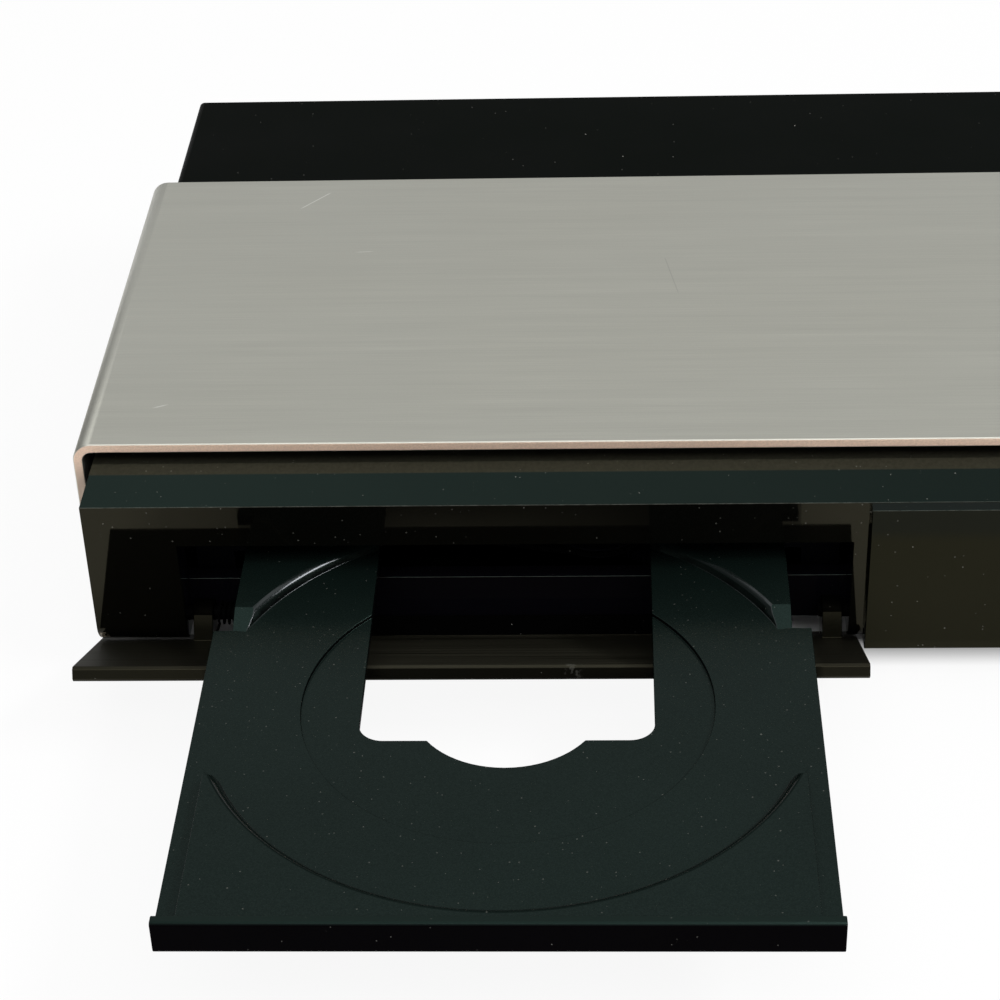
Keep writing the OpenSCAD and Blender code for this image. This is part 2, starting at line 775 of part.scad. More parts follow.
module front_fascia() color([0.09, 0.09, 0.08]) cabinet() difference() {
    intersection() {
        union() {
            fascia_shell();
            for (x = [-pillar_out, mouth_half]) along_x([tray_x + x, tray_x + x + pillar_w])
                intersection() {
                    fascia_section(0);
                    area([0, sill_back], [0, z_top]);
                }
            block([tray_x - mouth_half, tray_x + mouth_half], [sill_y, sill_back], [foot_h, foot_h + sill_h]);
            block([-fascia_half, tray_x - mouth_half], [wall_y, sill_back], [foot_h, foot_h + fascia_wall]);
            block([panel_left - pillar_w, fascia_half], [wall_y, sill_back], [foot_h, foot_h + fascia_wall]);
            block([-ridge_half, ridge_half], [ridge_y, ridge_y + ridge_w], [step_z - over, cover_under]);
            for (p = front_holes()) rod_y(p[0], [wall_y - lap, front_board_y], p[1], boss_r);
        }
        along_z([0, z_top]) fascia_plan(0);
        along_y([0, fascia_d + over]) fascia_front();
    }
    hinge_relief();
    for (x = [-pillar_out, mouth_half])
        rod_x([tray_x + x - over, tray_x + x + pillar_w + over], hinge_y, hinge_z, hinge_r + run_gap);
    for (p = front_holes())
        rod_y(p[0], [front_board_y - boss_hole_d, front_board_y + over], p[1], screw_hole_r);
    front_cuts([panel_t - over, wall_y + over]);
    block([display_x - display_w / 2, display_x + display_w / 2], [0, wall_y + over],
        [display_z - display_h / 2, display_z + display_h / 2]);
}

function front_holes() = [for (x = [front_board_x[0] + front_hole_inset, display_x + display_w / 2 + 8,
        front_board_x[1] - front_hole_inset],
    z = [front_board_z[0] + front_hole_inset, front_board_z[1] - front_hole_inset]) [x, z]];

// Holes for the buttons and the front socket
module front_cuts(y) {
    for (x = button_x) translate([0, 0, button_z]) along_y(y) translate([x, 0])
        pill(button_w + 2 * fit_gap, button_h + 2 * fit_gap);
    block([usb_x - usb_size[0] / 2 - fit_gap, usb_x + usb_size[0] / 2 + fit_gap], y,
        [usb_z - usb_size[1] / 2 - fit_gap, usb_z + usb_size[1] / 2 + fit_gap]);
}

module front_panel() color([0.13, 0.12, 0.09]) cabinet() difference() {
    along_x([panel_left, fascia_half])
        polygon([[0, foot_h], [0, panel_top], [panel_t, bevel_low], [panel_t, foot_h]]);
    front_cuts([-over, panel_t + over]);
}

// Flap

module flap_door() color([0.11, 0.1, 0.08]) opened() difference() {
    union() {
        along_x([flap_left, flap_right]) polygon([[-flap_proud, flap_low + flap_edge_out],
            [-flap_proud, flap_high - flap_edge_out], [flap_edge_out - flap_proud, flap_high],
            [flap_in_y - flap_edge_in, flap_high], [flap_in_y, flap_high - flap_edge_in],
            [flap_in_y, flap_low], [flap_edge_out - flap_proud, flap_low]]);
        for (x = flange_places()) along_x(x)
            area([flap_in_y - lap, flap_in_y + flange_d],
                [flap_low + flange_up, flap_low + flange_up + flange_t]);
        for (x = lug_places()) along_x([x - lug_w / 2, x + lug_w / 2]) {
            polygon([[flap_in_y - lap, flap_low], [flap_in_y - lap, flap_low + lug_h],
                [hinge_y, hinge_z + lug_r], [hinge_y, hinge_z - lug_r]]);
            translate([hinge_y, hinge_z]) circle(lug_r);
        }
    }
    for (x = lug_places()) rod_x([x - lug_w, x + lug_w], hinge_y, hinge_z, hinge_r + run_gap);
}

function lug_places() = [tray_x - lug_mid, tray_x + lug_mid];
function flange_places() = [[tray_x - lug_x - lug_w - flange_past, tray_x - lug_mid],
    [pin_end + flange_past, tray_x + lug_x - flange_short]];

module flap_pins() color([0.7, 0.7, 0.72]) cabinet() {
    rod_x([tray_x + lug_x - pin_past, tray_x + pillar_out - pin_short], hinge_y, hinge_z, hinge_r);
    rod_x([tray_x - pillar_out + pin_short, pin_end], hinge_y, hinge_z, hinge_r);
}

// Torsion spring on the left pin: one leg lies on the flap, the other on the sill
function spring_coil() = let (steps = spring_turns * 8)
    [for (i = [0:steps]) let (a = spring_start - 360 * spring_made * i / steps)
        [spring_x + spring_l * i / steps, hinge_y + spring_r * cos(a), hinge_z + spring_r * sin(a)]];
function spring_points() = let (c = spring_coil(), n = len(c) - 1,
    out = [0, -sin(flap_angle), cos(flap_angle)],
    toward = [0, -cos(flap_angle), -sin(flap_angle)],
    leg = flap_arm_y - spring_r - spring_wire - spring_off,
    back = sill_y - hinge_y - spring_wire - spring_off)
    concat([c[0] + spring_leg * out + leg * toward, c[0] + (spring_leg * out + leg * toward) / 2], c,
        [c[n] + [0, back / 2, 0], c[n] + [0, back, 0]]);

function unit(v) = v / norm(v);

// Tube of six sides along points that keep off the X direction
module tube_along(points, r) {
    n = len(points) - 1;
    sides = 6;
    rings = [for (i = [0:n]) let (t = unit(points[min(i + 1, n)] - points[max(i - 1, 0)]),
        u = unit(cross(t, [1, 0, 0])), v = cross(t, u))
        for (k = [0:sides - 1]) points[i] + r * (cos(360 * k / sides) * u + sin(360 * k / sides) * v)];
    walls = [for (i = [0:n - 1], k = [0:sides - 1]) let (a = i * sides + k, b = i * sides + (k + 1) % sides)
        each [[a, b, b + sides], [a, b + sides, a + sides]]];
    ends = [[for (k = [sides - 1:-1:0]) k], [for (k = [0:sides - 1]) n * sides + k]];
    polyhedron(rings, concat(walls, ends));
}

// Least gap between two turns of the coil, on its points
function coil_gap() = let (c = spring_coil(), n = len(c) - 1)
    min([for (i = [0:n], j = [0:n]) if (j - i > n / spring_made / 2) norm(c[j] - c[i])]) - 2 * spring_wire;
echo(least_gap_of_the_spring = coil_gap());

module flap_spring() color([0.75, 0.75, 0.76]) cabinet() tube_along(spring_points(), spring_wire);

// Tray

module disc_tray() color([0.11, 0.14, 0.13]) loader() difference() {
    union() {
        block([-plate_half, plate_half], [tray_front, tray_back], [-tray_t, 0]);
        block([-rail_half, rail_half], [tray_front, side_open], [-tray_t, -recess_d]);
        block([-rail_half, rail_half], [rail_start, tray_back], [-tray_t, -recess_d]);
        both_sides() block([rib_x, rib_x + rib_w], [tray_front, tray_back], [-rib_d, -tray_t]);
        block([-rib_x, rib_x], [tray_front, tray_front + rib_w], [-rib_d, -tray_t]);
        tray_rack();
    }
    recess_step(-recess_d, -edge_d, recess_r - recess_draft, recess_r - edge_w);
    recess_step(-edge_d, -edge_d / 4, recess_r - edge_w, recess_r - edge_w / 2);
    recess_step(-edge_d / 4, 0, recess_r - edge_w / 2, recess_r);
    translate([0, 0, -recess_d - small_d]) cylinder(r = small_r, h = recess_d + small_d + over);
    along_x([-rail_half, rail_half]) polygon([[-side_open, -recess_d], [side_open, -recess_d],
        [side_open + corner_slope, 0], [side_open + corner_slope, over], [-side_open, over]]);
    along_z([-cut_bottom, over]) {
        translate([0, (cut_back - cut_front) / 2]) rounded(2 * cut_half, cut_back + cut_front, cut_r);
        circle(bulge_r);
    }
}

// One of the cones that round the recess's edge off
module recess_step(low, high, r_low, r_high)
    translate([0, 0, low]) cylinder(r1 = r_low, r2 = r_high, h = high - low);

// Rack under the right side of the tray, in mesh with the main gear
module tray_rack() along_z([-rib_d, -tray_t]) translate([rack_x, gear_y])
    polygon(concat(rack_points(rack_first, rack_last, rack_module),
        [[rack_root + rack_w, (rack_last + rack_foot) * rack_pitch],
            [rack_root + rack_w, (rack_first - rack_foot) * rack_pitch]]));

module tray_lip() color([0.04, 0.04, 0.05]) loader() along_x([-lip_half, lip_half]) {
    area([-lip_reach, tray_front], [lip_round - lip_down, lip_up - lip_round]);
    area([lip_round - lip_reach, tray_front], [-lip_down, lip_up]);
    for (z = [lip_round - lip_down, lip_up - lip_round])
        translate([lip_round - lip_reach, z]) circle(lip_round);
}

// Loader

module loader_frame() color([0.16, 0.17, 0.17]) loader() difference() {
    union() {
        both_sides() {
            along_y([loader_y, loader_end]) {
                area([wall_x, wall_out], [floor_lz, loader_up]);
                area([ledge_in, wall_x], [ledge_top - ledge_t, ledge_top]);
                area([hold_in, wall_x], [hold_low, hold_top]);
                area([wall_x, loader_half], [floor_lz, base_top]);
            }
            block([wall_x, loader_half], [loader_y, loader_y + post_l], [floor_lz, post_up]);
            pivot_bearing();
        }
        block([-wall_x, wall_x], [loader_y, loader_y + front_base], [floor_lz, base_top]);
        block([-wall_x, wall_x], [pivot_y - pivot_reach, loader_end], [floor_lz, base_top]);
        rod_z(gear_x, gear_y, [base_top - lap, wheel_low - wheel_gap], gear_post_r + 1.5);
        rod_z(gear_x, gear_y, [base_top - lap, gear_top - 2 * wheel_gap], gear_post_r);
        rod_z(pulley_x, pulley_y, [base_top - lap, wheel_low - 2 * wheel_gap], pulley_post_r + 1.3);
        rod_z(pulley_x, pulley_y, [base_top - lap, pulley_low + pulley_h], pulley_post_r);
        for (y = [cam_y - fit_gap - cam_rail_t, cam_y + cam_t + fit_gap])
            block([-cam_rail_half, cam_rail_half], [y, y + cam_rail_t],
                [base_top - lap, base_top + cam_rail_h]);
    }
    rod_z(motor_x, motor_y, [floor_lz - over, base_top + over], motor_r + fit_gap);
    block([-cam_notch, cam_notch], [cam_y + cam_t, deck_front], [base_top, cam_top]);
    for (p = loader_holes()) rod_z(p[0], p[1], [floor_lz - over, base_top + over], screw_hole_r);
    for (p = bridge_holes()) rod_z(p[0], p[1], [loader_up - boss_hole_d, loader_up + over], small_hole_r);
}

// Bearing of the deck's trunnion
module pivot_bearing() difference() {
    block(pivot_block, [pivot_y - pivot_reach, pivot_y + pivot_reach], [base_top - lap, -rib_d - 0.5]);
    rod_x([pivot_block[0] - over, pivot_block[1] + over], pivot_y, pivot_z, pivot_r + run_gap);
}

function bridge_holes() = [for (s = [-1, 1], t = [-1, 1])
    [s * (wall_x + wall_out) / 2, spindle_y + t * (bridge_d / 2 - bridge_hole_inset)]];

module loader_screws() color([0.72, 0.72, 0.74]) loader() {
    for (p = loader_holes()) screw_down(p, base_top, base_t + sheet);
    for (p = bridge_holes()) {
        rod_z(p[0], p[1], [loader_up + bridge_t, loader_up + bridge_t + small_head_h], small_head_r);
        rod_z(p[0], p[1], [loader_up - screw_bite, loader_up + bridge_t], small_hole_r - run_gap);
    }
}

module clamp_bridge() color([0.66, 0.67, 0.69]) loader() difference() {
    union() {
        block([-wall_out, wall_out], [spindle_y - bridge_d / 2, spindle_y + bridge_d / 2],
            [loader_up, loader_up + bridge_t]);
        for (y = [spindle_y - bridge_d / 2, spindle_y + bridge_d / 2 - bridge_t])
            block([bridge_rim_inset - wall_out, wall_out - bridge_rim_inset], [y, y + bridge_t],
                [loader_up, loader_up + bridge_t + bridge_rim]);
    }
    rod_z(0, spindle_y, [loader_up - over, loader_up + bridge_t + over], clamper_neck + 0.7);
    for (p = bridge_holes()) rod_z(p[0], p[1], [loader_up - over, loader_up + bridge_t + over], small_hole_r);
}

module clamper() color([0.85, 0.85, 0.83]) loader() translate([0, spindle_y]) rotate_extrude() polygon([
    [0, clamper_web - clamper_web_t], [magnet_hole_r, clamper_web - clamper_web_t],
    [magnet_hole_r, clamper_low],
    [clamper_r, clamper_low], [clamper_r, clamper_low + clamper_flange],
    [clamper_neck, clamper_low + clamper_flange], [clamper_neck, clamper_seat],
    [clamper_r - 1, clamper_seat], [clamper_r - 1, clamper_top],
    [magnet_hole_r, clamper_top], [magnet_hole_r, clamper_web], [0, clamper_web]]);

module clamp_magnet() color([0.35, 0.35, 0.37]) loader()
    rod_z(0, spindle_y, [clamper_web, clamper_top - clamper_cap / 2], magnet_hole_r - fit_gap);

// Gear train

module main_gear() color([0.9, 0.9, 0.86]) loader() translate([gear_x, gear_y]) difference() {
    union() {
        along_z([gear_top - gear_t, gear_top]) rotate(180 / rack_gear_teeth)
            polygon(gear_points(rack_gear_teeth, rack_module));
        along_z([wheel_low, wheel_low + wheel_t]) rotate(pulley_angle)
            polygon(gear_points(low_gear_teeth, low_module));
        rod_z(0, 0, [wheel_low, gear_top], gear_hub_r);
    }
    rod_z(0, 0, [wheel_low - over, gear_top + over], gear_post_r + run_gap);
}

module pulley_gear() color([0.9, 0.9, 0.86]) loader() translate([pulley_x, pulley_y]) difference() {
    union() {
        along_z([wheel_low - wheel_gap, pulley_low]) rotate(pulley_angle + 180 + 180 / pinion_teeth)
            polygon(gear_points(pinion_teeth, low_module));
        pulley_wheel(pulley_r);
    }
    rod_z(0, 0, [wheel_low - over, pulley_low + pulley_h + over], pulley_post_r + run_gap);
}

module pulley_wheel(r) {
    rod_z(0, 0, [pulley_low, pulley_low + pulley_h], r);
    rod_z(0, 0, [pulley_low, pulley_low + rim_t], r + rim_up);
    rod_z(0, 0, [pulley_low + pulley_h - rim_t, pulley_low + pulley_h], r + rim_up);
}

module motor_pulley() color([0.88, 0.87, 0.8]) loader() translate([motor_x, motor_y]) {
    pulley_wheel(motor_pulley_r);
    rod_z(0, 0, [motor_top - motor_shaft_in, pulley_low + pulley_h + rim_t], motor_shaft_r);
}

// Outline round both pulleys, at a distance from their grooves
module belt_outline(extra) {
    big = pulley_r + extra;
    small = motor_pulley_r + extra;
    span = pulley_x - motor_x;
    lean = acos((big - small) / span);
    touch = [-cos(lean), sin(lean)];
    far = [-span, 0];
    circle(big);
    translate(far) circle(small);
    below = [touch[0], -touch[1]];
    polygon([big * touch, far + small * touch, far + small * below, big * below]);
}

module drive_belt() color([0.06, 0.06, 0.06]) loader() translate([pulley_x, pulley_y])
    along_z([pulley_low + (pulley_h - belt_h) / 2, pulley_low + (pulley_h + belt_h) / 2]) difference() {
        belt_outline(run_gap + belt_t);
        belt_outline(run_gap);
    }

module loading_motor() color([0.7, 0.71, 0.73]) loader() difference() {
    union() {
        rod_z(motor_x, motor_y, [floor_lz, motor_top - motor_nose], motor_r);
        rod_z(motor_x, motor_y, [motor_top - motor_nose - lap, motor_top], motor_nose_r);
    }
    rod_z(motor_x, motor_y, [motor_top - motor_shaft_in - fit_gap, motor_top + over],
        motor_shaft_r + run_gap);
}

module cam_slider() color([0.86, 0.85, 0.8]) loader() along_y([cam_y, cam_y + cam_t]) difference() {
    area([-cam_travel - cam_dwell - cam_end, cam_dwell + cam_end], [cam_low, cam_top]);
    track_2d([[cam_dwell, cam_rest], [0, cam_rest], [-cam_travel, cam_pin_z],
        [-cam_travel - cam_dwell, cam_pin_z]], cam_slot_r);
}

// Deck and what it carries

module deck() color([0.6, 0.61, 0.63]) lowered() difference() {
    union() {
        block([-deck_half, deck_half], [deck_front, deck_rear], [deck_low, deck_top]);
        both_sides() {
            block([deck_half - deck_rim_t, deck_half], [deck_front, deck_rear], [deck_low, deck_rim]);
            for (y = [rod_front, rod_rear - rod_lug])
                block([rod_half - lug_half, rod_half + lug_half], [y, y + rod_lug],
                    [lug_low, deck_low + lap]);
            along_x([deck_half - deck_rim_t, deck_half]) {
                area([deck_rear - 6, pivot_y], [pivot_z - 1.4, deck_top]);
                translate([pivot_y, pivot_z]) circle(pivot_r + 1.2);
            }
            rod_x([deck_half - lap, pivot_block[1] - pin_past], pivot_y, pivot_z, pivot_r);
        }
        block([lead_x - lug_half, lead_x + lug_half], [lead_front, lead_front + rod_lug],
            [lug_low, deck_low + lap]);
        rod_y(0, [cam_y - fit_gap, deck_front + lap], cam_pin_z, cam_pin_r);
        block([-rod_lug, rod_lug], [deck_front, deck_front + rod_lug], [cam_pin_z - 2, deck_rim]);
    }
    block([-window_half, window_half], [window_front, window_rear], [deck_low - over, deck_rim + over]);
    rod_z(0, spindle_y, [deck_low - over, deck_top + over], 2 * shaft_r);
    both_sides() rod_y(rod_half, [rod_front - over, rod_rear + over], rod_z_mid, rod_r + run_gap);
    rod_y(lead_x, [lead_front - over, lead_front + rod_lug + over], rod_z_mid, lead_r + run_gap);
    block([lead_x - feed_motor_r - fit_gap, lead_x + feed_motor_r + fit_gap],
        [feed_front - fit_gap, feed_rear + fit_gap], [deck_low - over, deck_rim + over]);
}

module spindle_motor() color([0.72, 0.72, 0.74]) lowered() difference() {
    rod_z(0, spindle_y, [motor_low, deck_low], spindle_motor_r);
    rod_z(0, spindle_y, [motor_low + motor_floor, deck_low + over], shaft_r + run_gap);
}

module turntable() color([0.2, 0.2, 0.21]) lowered() translate([0, spindle_y]) rotate_extrude() polygon([
    [0, motor_low + motor_floor + fit_gap], [shaft_r, motor_low + motor_floor + fit_gap],
    [shaft_r, deck_top + 0.8], [turntable_boss_r, deck_top + 0.8], [turntable_boss_r, rest_z - turntable_t],
    [turntable_r, rest_z - turntable_t], [turntable_r, rest_z], [hub_r, rest_z],
    [hub_r - 0.2, rest_z + 1.2], [hub_r - 2.2, hub_top], [0, hub_top]]);

module pickup() color([0.3, 0.31, 0.33]) lowered() difference() {
    union() {
        block([-pickup_half, pickup_half], [pickup_front, pickup_rear], [motor_low, pickup_top]);
        block([-10, 10], [lens_y - 8, lens_y + 9], [pickup_top - lap, pickup_cap]);
        block([-rod_half - 3, lap - pickup_half], [pickup_front, pickup_rear], [motor_low, pickup_low]);
        block([pickup_half - lap, rod_half + 3], [lens_y - 2, lens_y + 8], [motor_low, pickup_low]);
        block([rod_half + 3 - lap, lead_x - lead_r - fit_gap], [lens_y, lens_y + nut_d],
            [rod_z_mid - 1.2, rod_z_mid + 1.2]);
    }
    both_sides() rod_y(rod_half, [pickup_front - over, pickup_rear + over], rod_z_mid, rod_r + run_gap);
    rod_z(0, lens_y, [lens_low, over], lens_hole_r);
}

module objective_lens() color([0.25, 0.45, 0.62]) lowered() translate([0, lens_y]) {
    rod_z(0, 0, [lens_low, lens_high], lens_hole_r - fit_gap);
    rod_z(0, 0, [lens_high - lap, lens_high + lens_top_t], lens_top_r);
}

module guide_rods() color([0.8, 0.8, 0.82]) lowered() both_sides()
    rod_y(rod_half, [rod_front + pin_short, rod_rear - pin_short], rod_z_mid, rod_r);

module lead_screw() color([0.78, 0.74, 0.6]) lowered()
    rod_y(lead_x, [lead_front + pin_short, feed_front - fit_gap], rod_z_mid, lead_r);

module feed_motor() color([0.7, 0.7, 0.72]) lowered()
    rod_y(lead_x, [feed_front, feed_rear], rod_z_mid, feed_motor_r);

// Electronics

module board(left, right, holes) difference() {
    block([left, right], [board_front, board_rear], [board_low, board_top]);
    for (p = holes) rod_z(p[0], p[1], [board_low - over, board_top + over], screw_hole_r);
}

module main_board() color([0.1, 0.32, 0.2]) cabinet() board(main_left, main_right, main_holes());

module power_board() color([0.55, 0.42, 0.2]) cabinet() board(power_left, power_right, power_holes());

module main_chips() color([0.09, 0.09, 0.1]) cabinet() translate([chip_x, chip_y, board_top]) {
    block([-chip_size / 2, chip_size / 2], [-chip_size / 2, chip_size / 2], [0, chip_h]);
    for (y = [memory_gap, -memory_gap - memory_size[1]])
        block([memory_off, memory_off + memory_size[0]], [y, y + memory_size[1]], [0, memory_h]);
    block([-flash_off - flash_size[0], -flash_off], [-flash_size[1] / 2, flash_size[1] / 2], [0, memory_h]);
}

module heat_sink() color([0.5, 0.51, 0.53]) cabinet() translate([chip_x, chip_y, board_top + chip_h]) {
    block([-sink_w / 2, sink_w / 2], [-sink_w / 2, sink_w / 2], [0, sink_base]);
    for (i = [0:fin_gaps]) let (x = i * (sink_w - fin_t) / fin_gaps - sink_w / 2)
        block([x, x + fin_t], [-sink_w / 2, sink_w / 2], [sink_base - lap, sink_h]);
}

// Open metal box with a tongue, mouth to the back
module hdmi_socket() color([0.75, 0.75, 0.77]) cabinet()
    translate([hdmi_x, socket_rear, board_top]) let (half = hdmi_size[0] / 2) {
        difference() {
            block([-half, half], [-hdmi_d, 0], [0, hdmi_size[1]]);
            block([shell_t - half, half - shell_t], [2 - hdmi_d, over], [shell_t, hdmi_size[1] - shell_t]);
        }
        block([-hdmi_tongue[0], hdmi_tongue[0]], [2 - hdmi_d - lap, -2], [hdmi_tongue[1], hdmi_tongue[2]]);
    }

module lan_socket() color([0.75, 0.75, 0.77]) cabinet()
    translate([lan_x, socket_rear, board_top]) difference() {
        block([-lan_size[0] / 2, lan_size[0] / 2], [-lan_d, 0], [0, lan_size[1]]);
        block([-lan_hole_half, lan_hole_half], [-lan_hole_d, over], lan_hole_up);
        block([-lan_latch_half, lan_latch_half], [-lan_hole_d, over], [lan_hole_up[1] - lap, lan_latch_up]);
    }

function audio_places() = [audio_x - audio_pitch / 2, audio_x + audio_pitch / 2];

module audio_sockets() color([0.12, 0.12, 0.13]) cabinet() for (x = audio_places()) difference() {
    union() {
        block([x - audio_half, x + audio_half], [rear_y - audio_box[0], rear_y],
            [board_top, board_top + audio_box[1]]);
        rod_y(x, [rear_y - lap, socket_rear], board_top + audio_up, audio_r);
    }
    rod_y(x, [rear_y - audio_box[0] / 2, socket_rear + over], board_top + audio_up, audio_hole_r);
}

module mains_inlet() color([0.07, 0.07, 0.08]) cabinet() translate([inlet_x, 0, inlet_z]) {
    difference() {
        union() {
            along_y([rear_y - inlet_d, socket_rear]) pill(inlet_size[0], inlet_size[1]);
            block([2 - inlet_size[0] / 2, inlet_size[0] / 2 - 2], [rear_y - inlet_d, rear_y - over],
                [board_top - inlet_z, 0]);
        }
        along_y([socket_rear - inlet_hole_d, socket_rear + over]) pill(inlet_hole[0], inlet_hole[1]);
    }
    for (x = [-inlet_pin_x, inlet_pin_x])
        rod_y(x, [socket_rear - inlet_hole_d - lap, socket_rear - 2], 0, inlet_pin_r);
}

module transformer() color([0.85, 0.72, 0.3]) cabinet() translate([trafo_x, trafo_y, board_top]) {
    block([-trafo[0] / 2, trafo[0] / 2], [-trafo[1] / 2, trafo[1] / 2], [0, trafo_base]);
    block([-trafo[0] / 2, trafo[0] / 2], [-trafo[1] / 4, trafo[1] / 4], [trafo_base - lap, trafo[2]]);
    rod_x([-trafo[0] / 2 + 4, trafo[0] / 2 - 4], 0, trafo[2] / 2 + 1.5, trafo[2] / 2 - 2);
}

module capacitors() color([0.12, 0.13, 0.2]) cabinet() {
    rod_z(power_right - cap_side - cap_big[0], board_front + cap_back[0],
        [board_top, board_top + cap_big[1]], cap_big[0]);
    for (i = [0:3]) rod_z(power_left + cap_first + i * cap_pitch, board_front + cap_back[1],
        [board_top, board_top + cap_small[1]], cap_small[0]);
}

module front_board() color([0.1, 0.32, 0.2]) cabinet() difference() {
    block(front_board_x, [front_board_y, front_board_y + board_t], front_board_z);
    for (p = front_holes())
        rod_y(p[0], [front_board_y - over, front_board_y + board_t + over], p[1], screw_hole_r);
}

module display_module() color([0.1, 0.25, 0.28]) cabinet() {
    let (half = [display_w / 2 + display_rim[0], display_h / 2 + display_rim[1]])
        block([display_x - half[0], display_x + half[0]], [wall_y + fit_gap, wall_y + display_glass],
            [display_z - half[1], display_z + half[1]]);
    block([display_x - display_w / 2, display_x + display_w / 2],
        [wall_y + display_glass - lap, front_board_y],
        [display_z - display_h / 2, display_z + display_h / 2]);
}

module tact_switches() color([0.12, 0.12, 0.12]) cabinet() for (x = button_x) {
    block([x - switch_half, x + switch_half], [front_board_y - switch_h, front_board_y],
        [button_z - switch_half, button_z + switch_half]);
    rod_y(x, [front_board_y - switch_h - plunger_h, front_board_y - switch_h + lap], button_z, plunger_r);
}

module usb_socket() color([0.75, 0.75, 0.77]) cabinet()
    translate([usb_x, 0, usb_z]) let (half = usb_size / 2, floor_y = front_board_y - 3 * shell_t) {
        difference() {
            block([-half[0], half[0]], [usb_front, front_board_y], [-half[1], half[1]]);
            block([shell_t - half[0], half[0] - shell_t], [-over, floor_y],
                [shell_t - half[1], half[1] - shell_t]);
        }
        block([-usb_tongue[0], usb_tongue[0]], [3, floor_y + lap], [usb_tongue[1], usb_tongue[2]]);
    }

module board_screws() color([0.72, 0.72, 0.74]) cabinet() {
    for (p = board_holes()) screw_down(p, board_top, board_t + screw_bite);
    for (p = front_holes()) {
        rod_y(p[0], [front_board_y + board_t, front_board_y + board_t + head_h], p[1], head_r);
        rod_y(p[0], [front_board_y - screw_bite, front_board_y + board_t], p[1], shank_r);
    }
}

// Button with a flange behind the fascia's wall and a stem that faces its switch
module button(i) color([0.14, 0.13, 0.1]) cabinet() translate([button_x[i], 0, button_z]) {
    along_y([-button_out, wall_y + fit_gap + lap]) pill(button_w, button_h);
    along_y([wall_y + fit_gap, wall_y + fit_gap + button_rim_t])
        rounded(button_w + button_rim[0], button_h + button_rim[1], button_rim_r);
    rod_y(0, [wall_y + fit_gap + button_rim_t - lap,
        front_board_y - switch_h - plunger_h - button_travel - stem_gap], 0, stem_r);
}

module power_button() button(3);
module open_button() button(2);
module play_button() button(1);
module stop_button() button(0);

top_wrap();
top_cover();
wrap_spacers();
chassis();
rear_panel();
feet();
cabinet_screws();
front_fascia();
front_panel();
flap_door();
flap_pins();
flap_spring();
disc_tray();
tray_lip();
loader_frame();
loader_screws();
clamp_bridge();
clamper();
clamp_magnet();
main_gear();
pulley_gear();
motor_pulley();
drive_belt();
loading_motor();
cam_slider();
deck();
spindle_motor();
turntable();
pickup();
objective_lens();
guide_rods();
lead_screw();
feed_motor();
main_board();
main_chips();
heat_sink();
hdmi_socket();
lan_socket();
audio_sockets();
power_board();
transformer();
capacitors();
mains_inlet();
front_board();
display_module();
tact_switches();
usb_socket();
board_screws();
power_button();
open_button();
play_button();
stop_button();
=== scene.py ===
"""Looks of a disc player with its tray out: finishes, marks of use, painted light and shade, light and
camera.
"""
import json
import math

import bmesh
import bpy
from mathutils import Matrix, Vector

MM = 0.001

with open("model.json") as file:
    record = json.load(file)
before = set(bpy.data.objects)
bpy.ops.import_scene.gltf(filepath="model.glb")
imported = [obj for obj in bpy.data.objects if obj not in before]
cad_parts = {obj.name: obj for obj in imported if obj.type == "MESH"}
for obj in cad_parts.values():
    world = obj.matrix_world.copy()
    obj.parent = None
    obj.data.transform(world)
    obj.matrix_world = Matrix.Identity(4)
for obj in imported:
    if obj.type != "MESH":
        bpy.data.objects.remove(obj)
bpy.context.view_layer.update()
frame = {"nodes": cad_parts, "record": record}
nodes = frame["nodes"]


# Camera at the photograph's view

CAMERA_AT = Vector((-99.06, -479.03, 351.02)) * MM
CAMERA_YAW = math.radians(-3.0)
CAMERA_PITCH = math.radians(34.54)
CAMERA_ROLL = math.radians(2.11)
CAMERA_LENS = 92.14
CAMERA_SENSOR = 36.0
CAMERA_SHIFT_X = -0.0032


def add_camera():
    forward = Vector((math.sin(CAMERA_YAW) * math.cos(CAMERA_PITCH),
                      math.cos(CAMERA_YAW) * math.cos(CAMERA_PITCH),
                      -math.sin(CAMERA_PITCH)))
    level = forward.cross(Vector((0, 0, 1))).normalized()
    down = forward.cross(level)
    right = math.cos(CAMERA_ROLL) * level + math.sin(CAMERA_ROLL) * down
    up = math.sin(CAMERA_ROLL) * level - math.cos(CAMERA_ROLL) * down
    data = bpy.data.cameras.new("camera")
    data.lens = CAMERA_LENS
    data.sensor_width = CAMERA_SENSOR
    data.shift_x = CAMERA_SHIFT_X
    data.clip_start = 0.01
    camera = bpy.data.objects.new("camera", data)
    turn = Matrix((right, up, -forward)).transposed().to_4x4()
    camera.matrix_world = Matrix.Translation(CAMERA_AT) @ turn
    bpy.context.scene.collection.objects.link(camera)
    bpy.context.scene.camera = camera


# Node helpers

# Most values of a noise lie between these
NOISE_LOW = 0.3
NOISE_HIGH = 0.7


